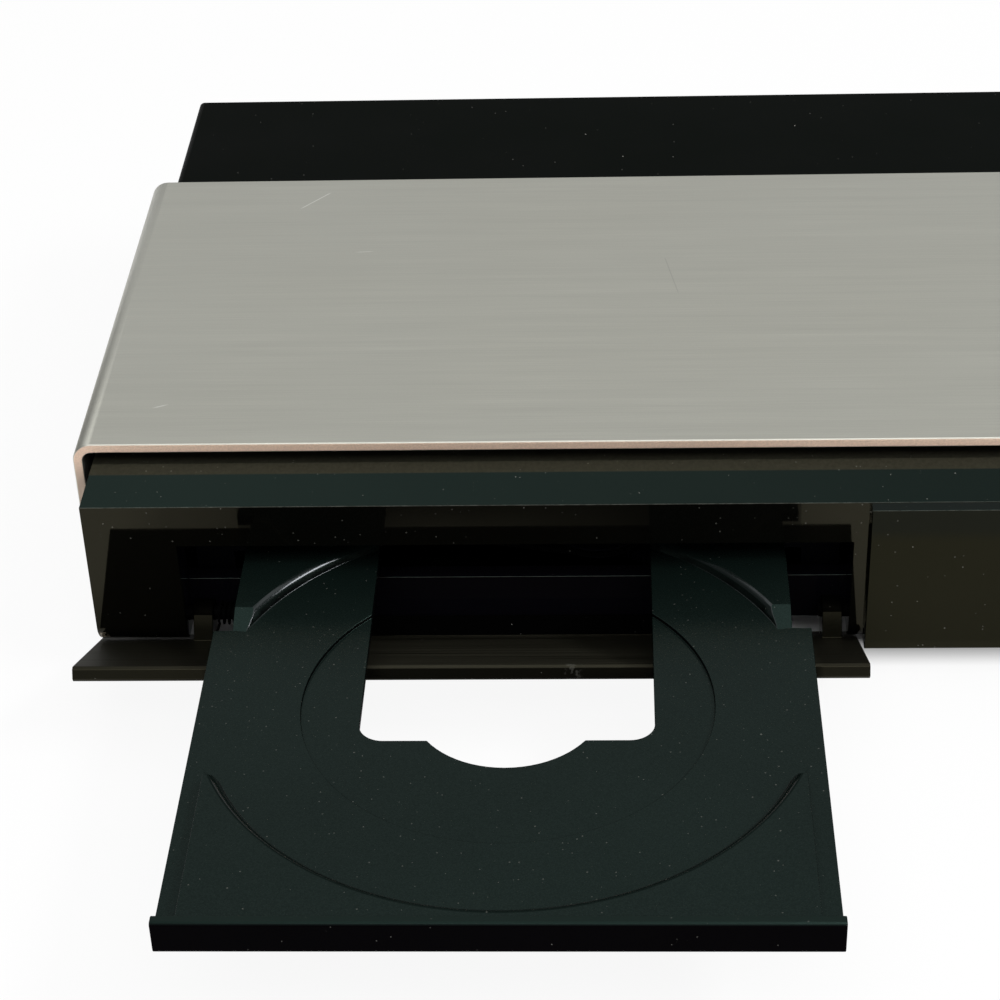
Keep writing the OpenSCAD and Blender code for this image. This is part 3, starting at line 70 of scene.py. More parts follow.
class Tree:
    """A material's node tree, with short calls for the nodes that repeat."""

    def __init__(self, name):
        self.material = bpy.data.materials.new(name)
        self.material.use_nodes = True
        self.tree = self.material.node_tree
        self.shader = self.tree.nodes["Principled BSDF"]
        spot = self.add("ShaderNodeTexCoord")
        self.place = spot.outputs["Object"]
        self.x, self.y, self.z = self.split(self.place)
        self.facing_x, self.facing_y, self.facing_z = self.split(spot.outputs["Normal"])

    def add(self, kind, **values):
        node = self.tree.nodes.new(kind)
        for key, value in values.items():
            setattr(node, key, value)
        return node

    def link(self, source, target):
        self.tree.links.new(source, target)

    def fill(self, socket, value):
        if isinstance(value, bpy.types.NodeSocket):
            self.link(value, socket)
        elif isinstance(value, tuple) and len(value) < len(socket.default_value):
            socket.default_value = (*value, 1.0)
        else:
            socket.default_value = value

    def set(self, **values):
        for key, value in values.items():
            self.fill(self.shader.inputs[key.replace("_", " ")], value)

    def split(self, vector):
        node = self.add("ShaderNodeSeparateXYZ")
        self.link(vector, node.inputs["Vector"])
        return [node.outputs[axis] for axis in "XYZ"]

    def noise(self, scale, detail=3.0, roughness=0.55, stretch=None):
        node = self.add("ShaderNodeTexNoise")
        node.inputs["Scale"].default_value = scale
        node.inputs["Detail"].default_value = detail
        node.inputs["Roughness"].default_value = roughness
        place = self.place
        if stretch:
            mapping = self.add("ShaderNodeMapping")
            mapping.inputs["Scale"].default_value = stretch
            self.link(place, mapping.inputs["Vector"])
            place = mapping.outputs["Vector"]
        self.link(place, node.inputs["Vector"])
        return node.outputs["Fac"]

    def remap(self, value, low, high, to_low=0.0, to_high=1.0):
        node = self.add("ShaderNodeMapRange")
        for key, number in (("From Min", low), ("From Max", high), ("To Min", to_low), ("To Max", to_high)):
            node.inputs[key].default_value = number
        self.link(value, node.inputs["Value"])
        return node.outputs["Result"]

    def math(self, kind, a, b=0.0):
        node = self.add("ShaderNodeMath", operation=kind)
        self.fill(node.inputs[0], a)
        self.fill(node.inputs[1], b)
        return node.outputs["Value"]

    def times(self, *values):
        product = values[0]
        for value in values[1:]:
            product = self.math("MULTIPLY", product, value)
        return product

    def mix(self, factor, a, b):
        node = self.add("ShaderNodeMix", data_type="RGBA")
        self.fill(node.inputs["Factor"], factor)
        first, second = [socket for socket in node.inputs if socket.type == "RGBA"]
        self.fill(first, a)
        self.fill(second, b)
        return [socket for socket in node.outputs if socket.type == "RGBA"][0]

    def wander(self, noise, low=0.0, high=1.0):
        """A value that wanders between two others with a noise."""
        return self.remap(noise, NOISE_LOW, NOISE_HIGH, low, high)

    def vary(self, noise, colour, spread):
        """A colour that wanders a little either way with a noise."""
        return self.mix(self.wander(noise), tuple(c * (1 - spread) for c in colour),
                        tuple(min(1.0, c * (1 + spread)) for c in colour))

    def bump(self, height, distance, strength=1.0):
        node = self.add("ShaderNodeBump")
        node.inputs["Distance"].default_value = distance
        node.inputs["Strength"].default_value = strength
        self.link(height, node.inputs["Height"])
        self.link(node.outputs["Normal"], self.shader.inputs["Normal"])

    def specks(self, share, cell, radius):
        """Mask of dust: a dot of its own size in a few of the cells."""
        node = self.add("ShaderNodeTexVoronoi")
        node.inputs["Scale"].default_value = 1.0 / cell
        self.link(self.place, node.inputs["Vector"])
        split = self.add("ShaderNodeSeparateColor")
        self.link(node.outputs["Color"], split.inputs["Color"])
        chosen = self.math("GREATER_THAN", split.outputs[0], 1.0 - share)
        reach = self.math("MULTIPLY", split.outputs[1], radius)
        inside = self.math("LESS_THAN", node.outputs["Distance"], reach)
        return self.times(chosen, inside, split.outputs[2])

    def dust(self, fine=0.06, coarse=0.035):
        return self.math("MAXIMUM", self.times(self.specks(fine, 0.9 * MM, 0.2), 0.35),
                         self.specks(coarse, 3.2 * MM, 0.09))

    def inside(self, value, low, high, soft):
        """One between two values, with soft ends."""
        return self.math("MINIMUM", self.remap(value, low - soft, low + soft),
                         self.remap(value, high - soft, high + soft, 1.0, 0.0))

    def within(self, value, limits, soft):
        """One between two limits in millimetres, with soft ends."""
        return self.inside(value, limits[0] * MM, limits[1] * MM, soft * MM)

    def above(self, value, limit):
        """One over a limit in millimetres."""
        return self.math("GREATER_THAN", value, limit * MM)

    def below(self, value, limit):
        """One under a limit in millimetres."""
        return self.math("LESS_THAN", value, limit * MM)

    def outside(self, mask):
        """What a mask leaves out."""
        return self.math("SUBTRACT", 1.0, mask)

    def line(self, start, end, width):
        """Mask of a scratch between two points of the top plane, in millimetres."""
        run = Vector(end) - Vector(start)
        length = run.length
        along, across = run / length, Vector((-run.y, run.x)) / length

        def measure(axis):
            offset = -axis.dot(Vector(start)) * MM
            place = self.math("ADD", self.times(self.x, axis.x), self.times(self.y, axis.y))
            return self.math("ADD", place, offset)

        return self.times(self.within(measure(along), (0.0, length), 0.6),
                          self.within(measure(across), (-width / 2, width / 2), width / 3))


# Finishes

DUST = (0.3, 0.3, 0.27)
BLACK = (0.002, 0.002, 0.0016)
# Painted reflection tints: the floor's on faces that look forward or down, the room's on faces that look up
FLOOR_REFLECTION_TINT = (1.0, 0.93, 0.6)
ROOM_REFLECTION_TINT = (0.58, 1.0, 0.88)
SCRATCHES = [
    # start, end, width, in millimetres on the aluminium's top
    ((-175.5, 80.6), (-169.2, 88.3), 0.3),
    ((-199.0, -10.6), (-196.6, -9.6), 0.35),
    ((-160.0, 58.0), (-156.5, 58.2), 0.2),
]
FAINT_SCRATCH = ((-86.5, 53.4), (-83.8, 37.2), 0.2)
BRUSHED = (0.63, 0.63, 0.56)
GRAINY = (0.5, 0.5, 0.45)
CLOUDED = (0.65, 0.66, 0.61)
BRIGHT_SCRATCH = (0.95, 0.95, 0.9)
DARK_SCRATCH = (0.3, 0.3, 0.28)
# The cut front edge is one finish, painted darker on the legs than along the top: shaded and lit copies of
# it
LEG_CUT_SHADED = (0.66, 0.55, 0.46)
TOP_CUT_LIT = (0.95, 0.76, 0.62)
LEG_BELOW = 44.0
TOP_ABOVE = 50.0


def aluminium():
    t = Tree("brushed_aluminium")
    fine = t.noise(1.0, 2.0, 0.6, (30.0, 5200.0, 5200.0))
    broad = t.noise(1.0, 3.0, 0.55, (4.0, 420.0, 420.0))
    grain = t.noise(2400.0, 1.0)
    cloud = t.noise(9.0, 2.0)
    streak = t.math("ADD", t.times(fine, 0.7), t.times(broad, 0.3))
    face = t.vary(streak, BRUSHED, 0.085)
    face = t.mix(t.remap(grain, 0.25, 0.75, 0.0, 0.16), face, GRAINY)
    face = t.mix(t.remap(cloud, 0.35, 0.65, 0.0, 0.25), face, CLOUDED)
    for start, end, width in SCRATCHES:
        face = t.mix(t.times(t.line(start, end, width), 0.8), face, BRIGHT_SCRATCH)
    start, end, width = FAINT_SCRATCH
    face = t.mix(t.times(t.line(start, end, width), 0.3), face, DARK_SCRATCH)
    front = t.remap(t.facing_y, -0.97, -0.8, 1.0, 0.0)
    # Painted light and shade: the cut front edge is darker on the legs and lighter along the top
    cut = t.mix(t.remap(t.z, LEG_BELOW * MM, TOP_ABOVE * MM), LEG_CUT_SHADED, t.vary(grain, TOP_CUT_LIT, 0.05))
    t.set(Base_Color=t.mix(front, face, cut), Metallic=1.0,
          Roughness=t.math("ADD", t.wander(streak, 0.36, 0.44), t.times(front, 0.3)))
    t.bump(streak, 0.008 * MM, 0.35)
    return t.material


def painted_reflection_tint(t):
    """Painted reflection tint of a dark gloss: the floor in front on faces that look forward, the room
    above on faces that look up.
    """
    return t.mix(t.remap(t.facing_z, 0.2, 0.7), FLOOR_REFLECTION_TINT, ROOM_REFLECTION_TINT)


def painted_steel(name, colour, roughness):
    t = Tree(name)
    cloud = t.noise(22.0, 3.0)
    t.set(Base_Color=t.mix(t.dust(0.03, 0.02), t.vary(cloud, colour, 0.2), DUST), Specular_Tint=painted_reflection_tint(t),
          Roughness=t.wander(cloud, roughness - 0.06, roughness + 0.06), Specular_IOR_Level=0.022)
    t.bump(t.noise(2600.0, 2.0), 0.02 * MM, 0.35)
    return t.material


GLOSS_ROUGHNESS = (0.08, 0.13)
GLOSS_LEVEL = 0.25


def gloss_marks(t):
    """Noises for the clouds and for the wipe marks in a gloss."""
    return t.noise(30.0, 4.0), t.noise(1.0, 3.0, 0.6, (60.0, 60.0, 900.0))


def glossy_plastic(name, colour):
    t = Tree(name)
    cloud, wipe = gloss_marks(t)
    t.set(Base_Color=t.mix(t.dust(), t.vary(cloud, colour, 0.2), DUST), Specular_Tint=painted_reflection_tint(t),
          Roughness=t.wander(wipe, *GLOSS_ROUGHNESS), Specular_IOR_Level=GLOSS_LEVEL)
    t.bump(cloud, 0.02 * MM, 0.2)
    return t.material


# Places on the fascia and the panel, in millimetres
TRAY_MIDDLE = -120.6
# Band under the aluminium that carries a painted reflection of its cut edge
EDGE_REFLECTION_BAND = (-27.9, -20.0)
MOUTH_TOP = 44.0
MOUTH_FROM = -33.0
WORN_CORNER = (-212.3, 9.4)
BEVEL_FADE = (-190.0, -20.0)
# Span over the tray where the strip's gloss is cut as painted shade
STRIP_SHADOW_SPAN = (TRAY_MIDDLE - 58.5, TRAY_MIDDLE + 61.0)
STRIP_ABOVE = 30.0
# Height above which the panel's painted reflection turns greyer
FAR_REFLECTION_ABOVE = 37.0
# Height below which the panel is painted lighter
BOTTOM_LIGHT_BELOW = 9.0
# Their tones
# Painted highlight along the rounded edges that look up and forward
EDGE_HIGHLIGHT = (0.075, 0.075, 0.066)
WORN_TO_BASE = (0.32, 0.27, 0.2)
# Painted reflection of the aluminium's cut edge: a dull brown on the bevel under it
EDGE_REFLECTION_BROWN = (0.016, 0.0155, 0.011)
# Painted shade inside the mouth: a bluish black
MOUTH_SHADE = (0.004, 0.0036, 0.006)
# Painted reflection tints of the panel: the near floor's, and a greyer one at the top
PANEL_FLOOR_REFLECTION = (1.0, 0.95, 0.48)
PANEL_FAR_REFLECTION = (0.76, 0.81, 0.54)
# Painted light: a lighter band along the panel's bottom
PANEL_BOTTOM_LIGHT = (1.0, 0.9, 0.6)


def bevel_level(t):
    """Strength of the gloss: the bevel loses some toward the right; over the tray the strip's gloss is cut
    as painted shade, where it mirrors the floor in the tray's shadow.
    """
    up = t.remap(t.facing_z, 0.5, 0.8)
    fade = t.times(up, t.remap(t.x, BEVEL_FADE[0] * MM, BEVEL_FADE[1] * MM, 0.04, 0.11))
    # Painted shade: less gloss on the front strip over the tray
    over = t.times(t.remap(t.facing_y, -0.8, -0.5, 1.0, 0.0), t.above(t.z, STRIP_ABOVE),
                   t.within(t.x, STRIP_SHADOW_SPAN, 0.2))
    return t.math("SUBTRACT", t.math("SUBTRACT", 0.27, fade), t.times(over, 0.14))


def painted_edge_highlight(t, tone):
    """A painted highlight: the tone is lighter along the rounded edges that look up and forward, broken by
    a noise.
    """
    edge = t.times(t.inside(t.facing_z, 0.25, 0.72, 0.06), t.remap(t.facing_y, -0.6, -0.5, 1.0, 0.0))
    highlight_breaks = t.wander(t.noise(700.0, 3.0), 0.3, 1.0)
    return t.mix(t.times(edge, highlight_breaks), tone, EDGE_HIGHLIGHT)


def panel_gloss():
    """Gloss of the front panel and its buttons: a painted reflection tint, yellowish and greyer at the top,
    and a painted lighter band along the bottom.
    """
    t = Tree("panel_gloss")
    cloud, wipe = gloss_marks(t)
    up = t.remap(t.facing_z, 0.4, 0.7)
    # Painted reflection: the panel's gloss is tinted greyer at the top
    grey = t.remap(t.z, (FAR_REFLECTION_ABOVE - 1.5) * MM, (FAR_REFLECTION_ABOVE + 1.5) * MM)
    # Painted light: a lighter band along the bottom
    rim = t.remap(t.z, (BOTTOM_LIGHT_BELOW - 0.5) * MM, (BOTTOM_LIGHT_BELOW + 0.5) * MM, 0.003, 0.0)
    front = t.mix(grey, PANEL_FLOOR_REFLECTION, PANEL_FAR_REFLECTION)
    level = t.math("ADD", 0.165, t.times(up, 0.045))
    tone = painted_edge_highlight(t, t.mix(rim, t.vary(cloud, BLACK, 0.2), PANEL_BOTTOM_LIGHT))
    t.set(Base_Color=t.mix(t.dust(0.1, 0.05), tone, DUST), Specular_Tint=t.mix(up, front, ROOM_REFLECTION_TINT),
          Specular_IOR_Level=level, Roughness=t.wander(wipe, 0.04, 0.08))
    t.bump(cloud, 0.02 * MM, 0.2)
    return t.material


def fascia_gloss():
    """Gloss of the fascia: a painted reflection of the aluminium's edge as a dull brown band under it,
    painted shade in the mouth, painted highlights along the edges and a worn lower corner.
    """
    t = Tree("fascia_gloss")
    cloud, wipe = gloss_marks(t)
    speckle = t.noise(1500.0, 3.0)
    # Painted reflection: a dull brown band mirrors the aluminium's cut edge on the bevel under it
    edge_reflection = t.times(t.within(t.y, EDGE_REFLECTION_BAND, 0.15), t.remap(t.facing_z, 0.5, 0.8),
                    t.above(t.z, MOUTH_TOP))
    corner = t.times(t.within(t.x, (WORN_CORNER[0] - 1, WORN_CORNER[0] + 1.6), 0.6),
                     t.within(t.z, (WORN_CORNER[1] - 1.2, WORN_CORNER[1] + 0.8), 0.5),
                     t.remap(speckle, 0.45, 0.6))
    # Painted shade: inside the mouth the black takes a bluish shade tone
    mouth = t.times(t.above(t.y, MOUTH_FROM), t.below(t.z, MOUTH_TOP))
    tone = painted_edge_highlight(t, t.mix(mouth, t.vary(cloud, BLACK, 0.2), MOUTH_SHADE))
    tone = t.mix(edge_reflection, tone, t.vary(speckle, EDGE_REFLECTION_BROWN, 0.35))
    tone = t.mix(corner, tone, WORN_TO_BASE)
    t.set(Base_Color=t.mix(t.dust(0.16, 0.05), tone, DUST), Specular_Tint=t.mix(edge_reflection, painted_reflection_tint(t), FLOOR_REFLECTION_TINT),
          Specular_IOR_Level=bevel_level(t),
          Roughness=t.math("ADD", t.wander(wipe, 0.03, 0.06), t.times(edge_reflection, 0.4)))
    t.bump(cloud, 0.02 * MM, 0.2)
    return t.material


# Places on the flap, in millimetres; its lugs are painted a dull shade black above a plane that drops
# toward the rear
HINGE_AT = (-29.7, 11.6)
FLAP_TURN = math.radians(63.1)
FLANGE_FROM = -5.5
FLANGE = (TRAY_MIDDLE - 66.0, TRAY_MIDDLE + 66.0)
UNDER_TRAY = (TRAY_MIDDLE - 64.0, TRAY_MIDDLE + 64.0)
CHIP = (-109.3, -106.3)
CHIP_BEFORE = -60.0
LUG_SHOULDER = -9.3
SHOULDER_TILT = math.radians(34.54)
# Its tones
LUG_BLACK = (0.003, 0.003, 0.0025)
# Painted light: under the tray the flap is lighter and streaked, for light through the tray's cut-out and
# streaky reflections
PAINTED_LIGHT_STREAKS = (0.0085, 0.0083, 0.0062)
# Painted shade: the flange and the lugs' tops are a dull black
FLAP_SHADE_BLACK = (0.0012, 0.0012, 0.0012)
CHIPPED = (0.03, 0.03, 0.026)


def flap_gloss():
    """Gloss of the flap: painted shade, a dull black, on its flange and high on its lugs; painted light and
    reflection streaks under the tray, where its front edge's gloss is cut as painted shade; chipped once.
    """
    t = Tree("flap_gloss")
    cloud = t.noise(30.0, 4.0)
    wipe = t.noise(1.0, 3.0, 0.6, (12.0, 1100.0, 1100.0))
    depth = t.math("ADD", t.times(t.y, math.cos(FLAP_TURN)), t.times(t.z, math.sin(FLAP_TURN)))
    behind = HINGE_AT[0] * math.cos(FLAP_TURN) + HINGE_AT[1] * math.sin(FLAP_TURN) + FLANGE_FROM
    flange = t.times(t.above(depth, behind), t.within(t.x, FLANGE, 0.1))
    chip = t.times(t.within(t.x, CHIP, 0.6), t.remap(t.noise(900.0, 3.0), 0.52, 0.6),
                   t.remap(t.y, CHIP_BEFORE * MM, (CHIP_BEFORE + 1) * MM, 1.0, 0.0))
    inner = t.math("GREATER_THAN", t.facing_z, 0.75)
    middle = t.within(t.x, UNDER_TRAY, 1.0)
    shoulder = t.math("ADD", t.z, t.times(t.y, math.tan(SHOULDER_TILT)))
    # Painted shade: dull black on the flange and high on the lugs
    dull = t.math("MAXIMUM", flange, t.times(t.above(shoulder, LUG_SHOULDER), t.outside(middle)))
    # Painted light and reflection streaks under the tray
    tone = t.mix(middle, LUG_BLACK, t.vary(wipe, PAINTED_LIGHT_STREAKS, 0.9))
    tone = t.mix(inner, t.vary(cloud, BLACK, 0.2), tone)
    tone = t.mix(dull, tone, FLAP_SHADE_BLACK)
    tone = t.mix(chip, t.mix(t.dust(), tone, DUST), CHIPPED)
    # Painted shade: under the tray the front edge loses gloss, as if it mirrored the floor in the tray's
    # shadow
    front = t.times(middle, t.remap(t.facing_z, 0.82, 0.87, 1.0, 0.0))
    t.set(Base_Color=tone, Specular_Tint=FLOOR_REFLECTION_TINT,
          Specular_IOR_Level=t.math("SUBTRACT", t.remap(dull, 0.0, 1.0, 0.25, 0.02), t.times(front, 0.19)),
          Roughness=t.math("ADD", t.wander(wipe, 0.1, 0.2),
                           t.math("MAXIMUM", t.times(inner, 0.4), t.times(dull, 0.4))))
    t.bump(wipe, 0.01 * MM, 0.2)
    return t.material


MATTE_GRAIN = 0.35


def matte_plastic(name, colour, roughness, level):
    t = Tree(name)
    grain = t.noise(1.0 / (MATTE_GRAIN * MM), 2.0)
    cloud = t.noise(26.0, 3.0)
    t.set(Base_Color=t.mix(t.dust(), t.vary(cloud, colour, 0.15), DUST),
          Roughness=t.wander(grain, roughness - 0.06, roughness + 0.06), Specular_IOR_Level=level)
    t.bump(grain, 0.03 * MM, 0.4)
    return t.material


# Places on the tray, in millimetres; the front arc's limits are measured from the disc's middle
DISC_AT = (TRAY_MIDDLE, -80.1)
RECESS_R = 62.0
SMALL_R = 41.5
FRONT_ARC = (-24.0, -20.0)
# Tones of the tray and its lip
TRAY_FACE = (0.0032, 0.0062, 0.0053)
# Painted shade on the tray's wall
TRAY_WALL_SHADE = (0.0012, 0.0014, 0.0016)
# Painted highlight tint of the recess's rounded edge
RECESS_HIGHLIGHT_TINT = (0.9, 0.95, 1.0)
# Painted shade and light on the lip: black in front, lighter on top, with a painted reflection tint in
# front
LIP_FRONT_SHADE = (0.0008, 0.0007, 0.001)
LIP_TOP_LIT = (0.003, 0.0065, 0.0052)
LIP_REFLECTION_TINT = (1.0, 0.8, 1.0)


def tray_matte():
    """The tray: finely grained; glossy on the recess's rounded edge, with a painted highlight tint; painted
    shade, black, on its wall and front rim.
    """
    t = Tree("tray_plastic")
    grain = t.noise(2900.0, 2.0)
    cloud = t.noise(26.0, 3.0)
    across = t.math("ADD", t.x, -DISC_AT[0] * MM)
    along = t.math("ADD", t.y, -DISC_AT[1] * MM)
    radius = t.math("SQRT", t.math("ADD", t.times(across, across), t.times(along, along)))
    # Painted highlight: on the sides of the recess's rounded edge the surface is smoother, with its gloss
    # made stronger and tinted bluish white
    sideways = t.remap(t.math("ABSOLUTE", t.facing_x), 0.04, 0.1)
    edge = t.times(t.inside(t.facing_z, 0.62, 0.965, 0.02), sideways,
                   t.within(radius, (RECESS_R - 4, RECESS_R + 1), 0.3))
    # Painted shade: the recess's wall is darker and less glossy
    wall = t.remap(t.facing_z, 0.55, 0.62, 1.0, 0.0)
    in_front = t.remap(along, FRONT_ARC[0] * MM, FRONT_ARC[1] * MM, 1.0, 0.0)
    # Painted shade: a dark line of less gloss along the front rims
    rim_shade = t.math("MAXIMUM", t.within(radius, (RECESS_R - 0.2, RECESS_R + 0.35), 0.12),
                  t.times(t.within(radius, (SMALL_R - 0.2, SMALL_R + 0.2), 0.1), 0.4))
    rim_shade = t.times(rim_shade, in_front)
    tone = t.mix(wall, t.vary(cloud, TRAY_FACE, 0.15), TRAY_WALL_SHADE)
    shine = t.times(t.wander(grain, 0.16, 0.25), t.outside(t.times(rim_shade, 0.8)))
    shine = t.math("SUBTRACT", t.math("ADD", shine, t.times(edge, 0.25)), t.times(wall, 0.14))
    t.set(Base_Color=t.mix(t.times(t.dust(0.2, 0.03), 0.6), tone, DUST),
          Specular_Tint=t.mix(edge, painted_reflection_tint(t), RECESS_HIGHLIGHT_TINT), Specular_IOR_Level=shine,
          Roughness=t.math("SUBTRACT", t.wander(grain, 0.22, 0.3), t.times(edge, 0.1)))
    t.bump(grain, 0.02 * MM, 0.3)
    return t.material


def lip_gloss():
    """The lip is one plastic, painted black in front as shade and lighter on top as lit, where it is as
    dull as the tray.
    """
    t = Tree("lip_gloss")
    up = t.remap(t.facing_z, 0.3, 0.8)
    cloud = t.noise(40.0, 4.0)
    # Painted light and shade: the lip's top is lighter than its front
    tone = t.mix(up, t.vary(cloud, LIP_FRONT_SHADE, 0.2), LIP_TOP_LIT)
    t.set(Base_Color=t.mix(t.dust(0.2, 0.1), tone, DUST), Specular_Tint=t.mix(up, LIP_REFLECTION_TINT, ROOM_REFLECTION_TINT),
          Specular_IOR_Level=t.remap(up, 0.0, 1.0, 0.012, 0.18), Roughness=t.remap(up, 0.0, 1.0, 0.2, 0.38))
    t.bump(cloud, 0.02 * MM, 0.2)
    return t.material


def metal(name, colour, roughness):
    t = Tree(name)
    streak = t.noise(1.0, 3.0, 0.6, (400.0, 400.0, 400.0))
    t.set(Base_Color=t.vary(streak, colour, 0.1), Metallic=1.0,
          Roughness=t.wander(streak, roughness * 0.8, roughness * 1.2))
    t.bump(streak, 0.01 * MM, 0.3)
    return t.material


def glass(name, colour):
    t = Tree(name)
    t.set(Base_Color=t.vary(t.noise(40.0), colour, 0.1), Coat_Weight=0.5,
          Roughness=t.wander(t.noise(60.0), 0.03, 0.08))
    return t.material


MATERIALS = {
    "aluminium": aluminium(),
    "black_steel": painted_steel("black_paint", (0.0014, 0.002, 0.0014), 0.5),
    "gloss_black": glossy_plastic("gloss_black", BLACK),
    "tray_plastic": tray_matte(),
    "lip_plastic": lip_gloss(),
    "zinc_steel": metal("zinc_plate", (0.6, 0.61, 0.62), 0.35),
    "bright_steel": metal("bright_steel", (0.72, 0.72, 0.73), 0.18),
    "black_screw": metal("black_oxide", (0.05, 0.05, 0.052), 0.4),
    "foot_rubber": matte_plastic("rubber", (0.008, 0.008, 0.008), 0.75, 0.12),
    "dark_plastic": matte_plastic("dark_plastic", (0.004, 0.004, 0.0065), 0.5, 0.06),
    "white_plastic": matte_plastic("white_plastic", (0.72, 0.71, 0.66), 0.42, 0.4),
    "magnet": metal("magnet", (0.12, 0.12, 0.125), 0.5),
    "lens_glass": glass("lens_glass", (0.2, 0.32, 0.5)),
    "brass_screw": metal("brass", (0.75, 0.6, 0.3), 0.25),
    "green_board": matte_plastic("green_board", (0.015, 0.12, 0.05), 0.4, 0.4),
    "tan_board": matte_plastic("tan_board", (0.36, 0.24, 0.09), 0.5, 0.3),
    "chip_resin": matte_plastic("chip_resin", (0.015, 0.015, 0.016), 0.5, 0.3),
    "sink_metal": metal("sink_metal", (0.5, 0.51, 0.53), 0.4),
    "winding": matte_plastic("winding_tape", (0.62, 0.45, 0.08), 0.4, 0.4),
    "sleeve": glossy_plastic("cap_sleeve", (0.015, 0.02, 0.05)),
    "display_glass": glass("display_glass", (0.01, 0.025, 0.028)),
}
PANEL_FINISH = panel_gloss()
# Painted shade: the flap's pins and spring are made a dull black like the black rubber belt, so they stay
# dark in the shade inside
INNER_SHADE_BLACK = matte_plastic("inner_shade_black", (0.002, 0.002, 0.002), 0.7, 0.02)
OWN_FINISH = {
    "front_fascia": fascia_gloss(), "flap_door": flap_gloss(),
    "flap_pins": INNER_SHADE_BLACK, "flap_spring": INNER_SHADE_BLACK, "drive_belt": INNER_SHADE_BLACK,
}
for name in ("front_panel", "power_button", "open_button", "play_button", "stop_button"):
    OWN_FINISH[name] = PANEL_FINISH


def dress_nodes():
    """Each node takes its slot's finish, or its own."""
    for row in frame["record"]["subparts"]:
        data = nodes[row["node"]].data
        data.materials.clear()
        data.materials.append(OWN_FINISH.get(row["node"], MATERIALS[row["material_slot"]]))


# Widths of the bevels in millimetres; the thin parts of three nodes would clamp theirs to nothing
EDGES = {
    "top_wrap": 0.4, "top_cover": 0.3, "front_fascia": 0.2, "front_panel": 0.2, "flap_door": 0.2,
    "disc_tray": 0.15, "tray_lip": 0.2, "loader_frame": 0.25, "rear_panel": 0.2, "chassis": 0.2,
}
UNCLAMPED = ("front_fascia", "front_panel", "flap_door")
WELD_WITHIN = 0.002
FLAT_WITHIN = math.radians(0.5)
BEVEL_OVER = math.radians(28)
BEVEL_STEPS = 2


def soften_edges():
    """Small bevels on the edges that catch the light."""
    for name, width in EDGES.items():
        weld = nodes[name].modifiers.new("weld", "WELD")
        weld.merge_threshold = WELD_WITHIN * MM
        flat = nodes[name].modifiers.new("flat", "DECIMATE")
        flat.decimate_type = "DISSOLVE"
        flat.angle_limit = FLAT_WITHIN
        bevel = nodes[name].modifiers.new("bevel", "BEVEL")
        bevel.width = width * MM
        bevel.segments = BEVEL_STEPS
        bevel.limit_method = "ANGLE"
        bevel.angle_limit = BEVEL_OVER
        bevel.use_clamp_overlap = name not in UNCLAMPED
        bevel.harden_normals = True


# Stage

FLOOR_HALF = 4.0
WHITE_SHARE = 0.92
UNDER_X = (-208.0, 208.0)
UNDER_Y = (-30.0, 136.0)
UNDER_SOFT = 5.0


def add_floor():
    """A pale floor, shown nearly white to the camera except under the cabinet."""
    mesh = bpy.data.meshes.new("floor")
    shape = bmesh.new()
    bmesh.ops.create_grid(shape, x_segments=4, y_segments=4, size=FLOOR_HALF)
    shape.to_mesh(mesh)
    shape.free()
    floor = bpy.data.objects.new("floor", mesh)
    bpy.context.scene.collection.objects.link(floor)
    t = Tree("floor")
    under = t.times(t.within(t.x, UNDER_X, UNDER_SOFT), t.within(t.y, UNDER_Y, UNDER_SOFT))
    t.set(Base_Color=(0.9, 0.9, 0.9), Roughness=0.9, Specular_IOR_Level=0.0)
    glow = t.add("ShaderNodeEmission")
    shown = t.add("ShaderNodeMixShader")
    path = t.add("ShaderNodeLightPath")
    seen = t.times(path.outputs["Is Camera Ray"], WHITE_SHARE, t.outside(under))
    t.link(seen, shown.inputs["Fac"])
    t.link(t.shader.outputs["BSDF"], shown.inputs[1])
    t.link(glow.outputs["Emission"], shown.inputs[2])
    t.link(shown.outputs["Shader"], t.tree.nodes["Material Output"].inputs["Surface"])
    mesh.materials.append(t.material)


WORLD_LIGHT = 0.5
SIDE_LIGHT = 0.12
SIDE_FROM = 0.5
SIDE_TO = 0.8


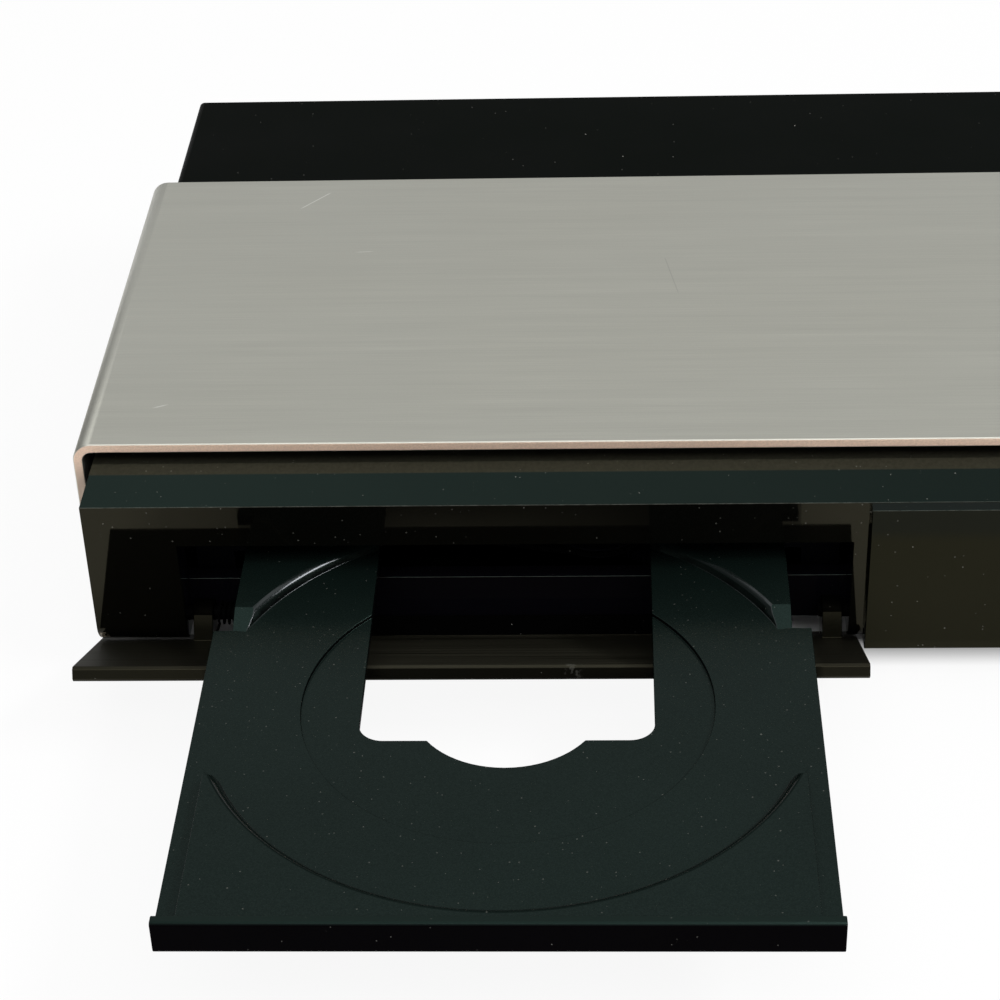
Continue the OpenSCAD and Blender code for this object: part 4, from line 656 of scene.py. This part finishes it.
def add_world():
    """Even light that dims toward both sides, shown white to the camera."""
    world = bpy.data.worlds.new("studio")
    world.use_nodes = True
    bpy.context.scene.world = world
    tree = world.node_tree
    path = tree.nodes.new("ShaderNodeLightPath")
    seen = tree.nodes.new("ShaderNodeMath")
    seen.operation = "MAXIMUM"
    tree.links.new(path.outputs["Is Camera Ray"], seen.inputs[0])
    tree.links.new(path.outputs["Is Transmission Ray"], seen.inputs[1])
    spot = tree.nodes.new("ShaderNodeTexCoord")
    split = tree.nodes.new("ShaderNodeSeparateXYZ")
    tree.links.new(spot.outputs["Generated"], split.inputs["Vector"])
    aside = tree.nodes.new("ShaderNodeMath")
    aside.operation = "ABSOLUTE"
    tree.links.new(split.outputs["X"], aside.inputs[0])
    level = tree.nodes.new("ShaderNodeMapRange")
    ends = {"From Min": SIDE_FROM, "From Max": SIDE_TO, "To Min": WORLD_LIGHT, "To Max": SIDE_LIGHT}
    for key, value in ends.items():
        level.inputs[key].default_value = value
    tree.links.new(aside.outputs["Value"], level.inputs["Value"])
    strength = tree.nodes.new("ShaderNodeMapRange")
    tree.links.new(level.outputs["Result"], strength.inputs["To Min"])
    tree.links.new(seen.outputs["Value"], strength.inputs["Value"])
    tree.links.new(strength.outputs["Result"], tree.nodes["Background"].inputs["Strength"])
    tree.nodes["Background"].inputs["Color"].default_value = (1.0, 1.0, 1.0, 1.0)


LAMPS = [
    # name, place, target, width, height, power
    ("overhead", (0.0, 0.15, 1.6), (0.0, 0.0, 0.0), 2.4, 1.6, 7.8),
    ("right", (1.0, -0.22, 1.1), (-0.15, -0.03, 0.03), 0.75, 0.3, 12.4),
    ("front", (-0.1, -0.95, 1.25), (-0.1, 0.0, 0.05), 1.8, 0.4, 5.7),
]


def add_lamps():
    for name, place, target, width, height, power in LAMPS:
        data = bpy.data.lights.new(name, "AREA")
        data.shape = "RECTANGLE"
        data.size = width
        data.size_y = height
        data.energy = power
        lamp = bpy.data.objects.new(name, data)
        lamp.location = place
        lamp.rotation_euler = (Vector(target) - Vector(place)).to_track_quat("-Z", "Y").to_euler()
        bpy.context.scene.collection.objects.link(lamp)


add_camera()
dress_nodes()
soften_edges()
add_floor()
add_world()
add_lamps()
bpy.context.scene.view_settings.view_transform = "Standard"
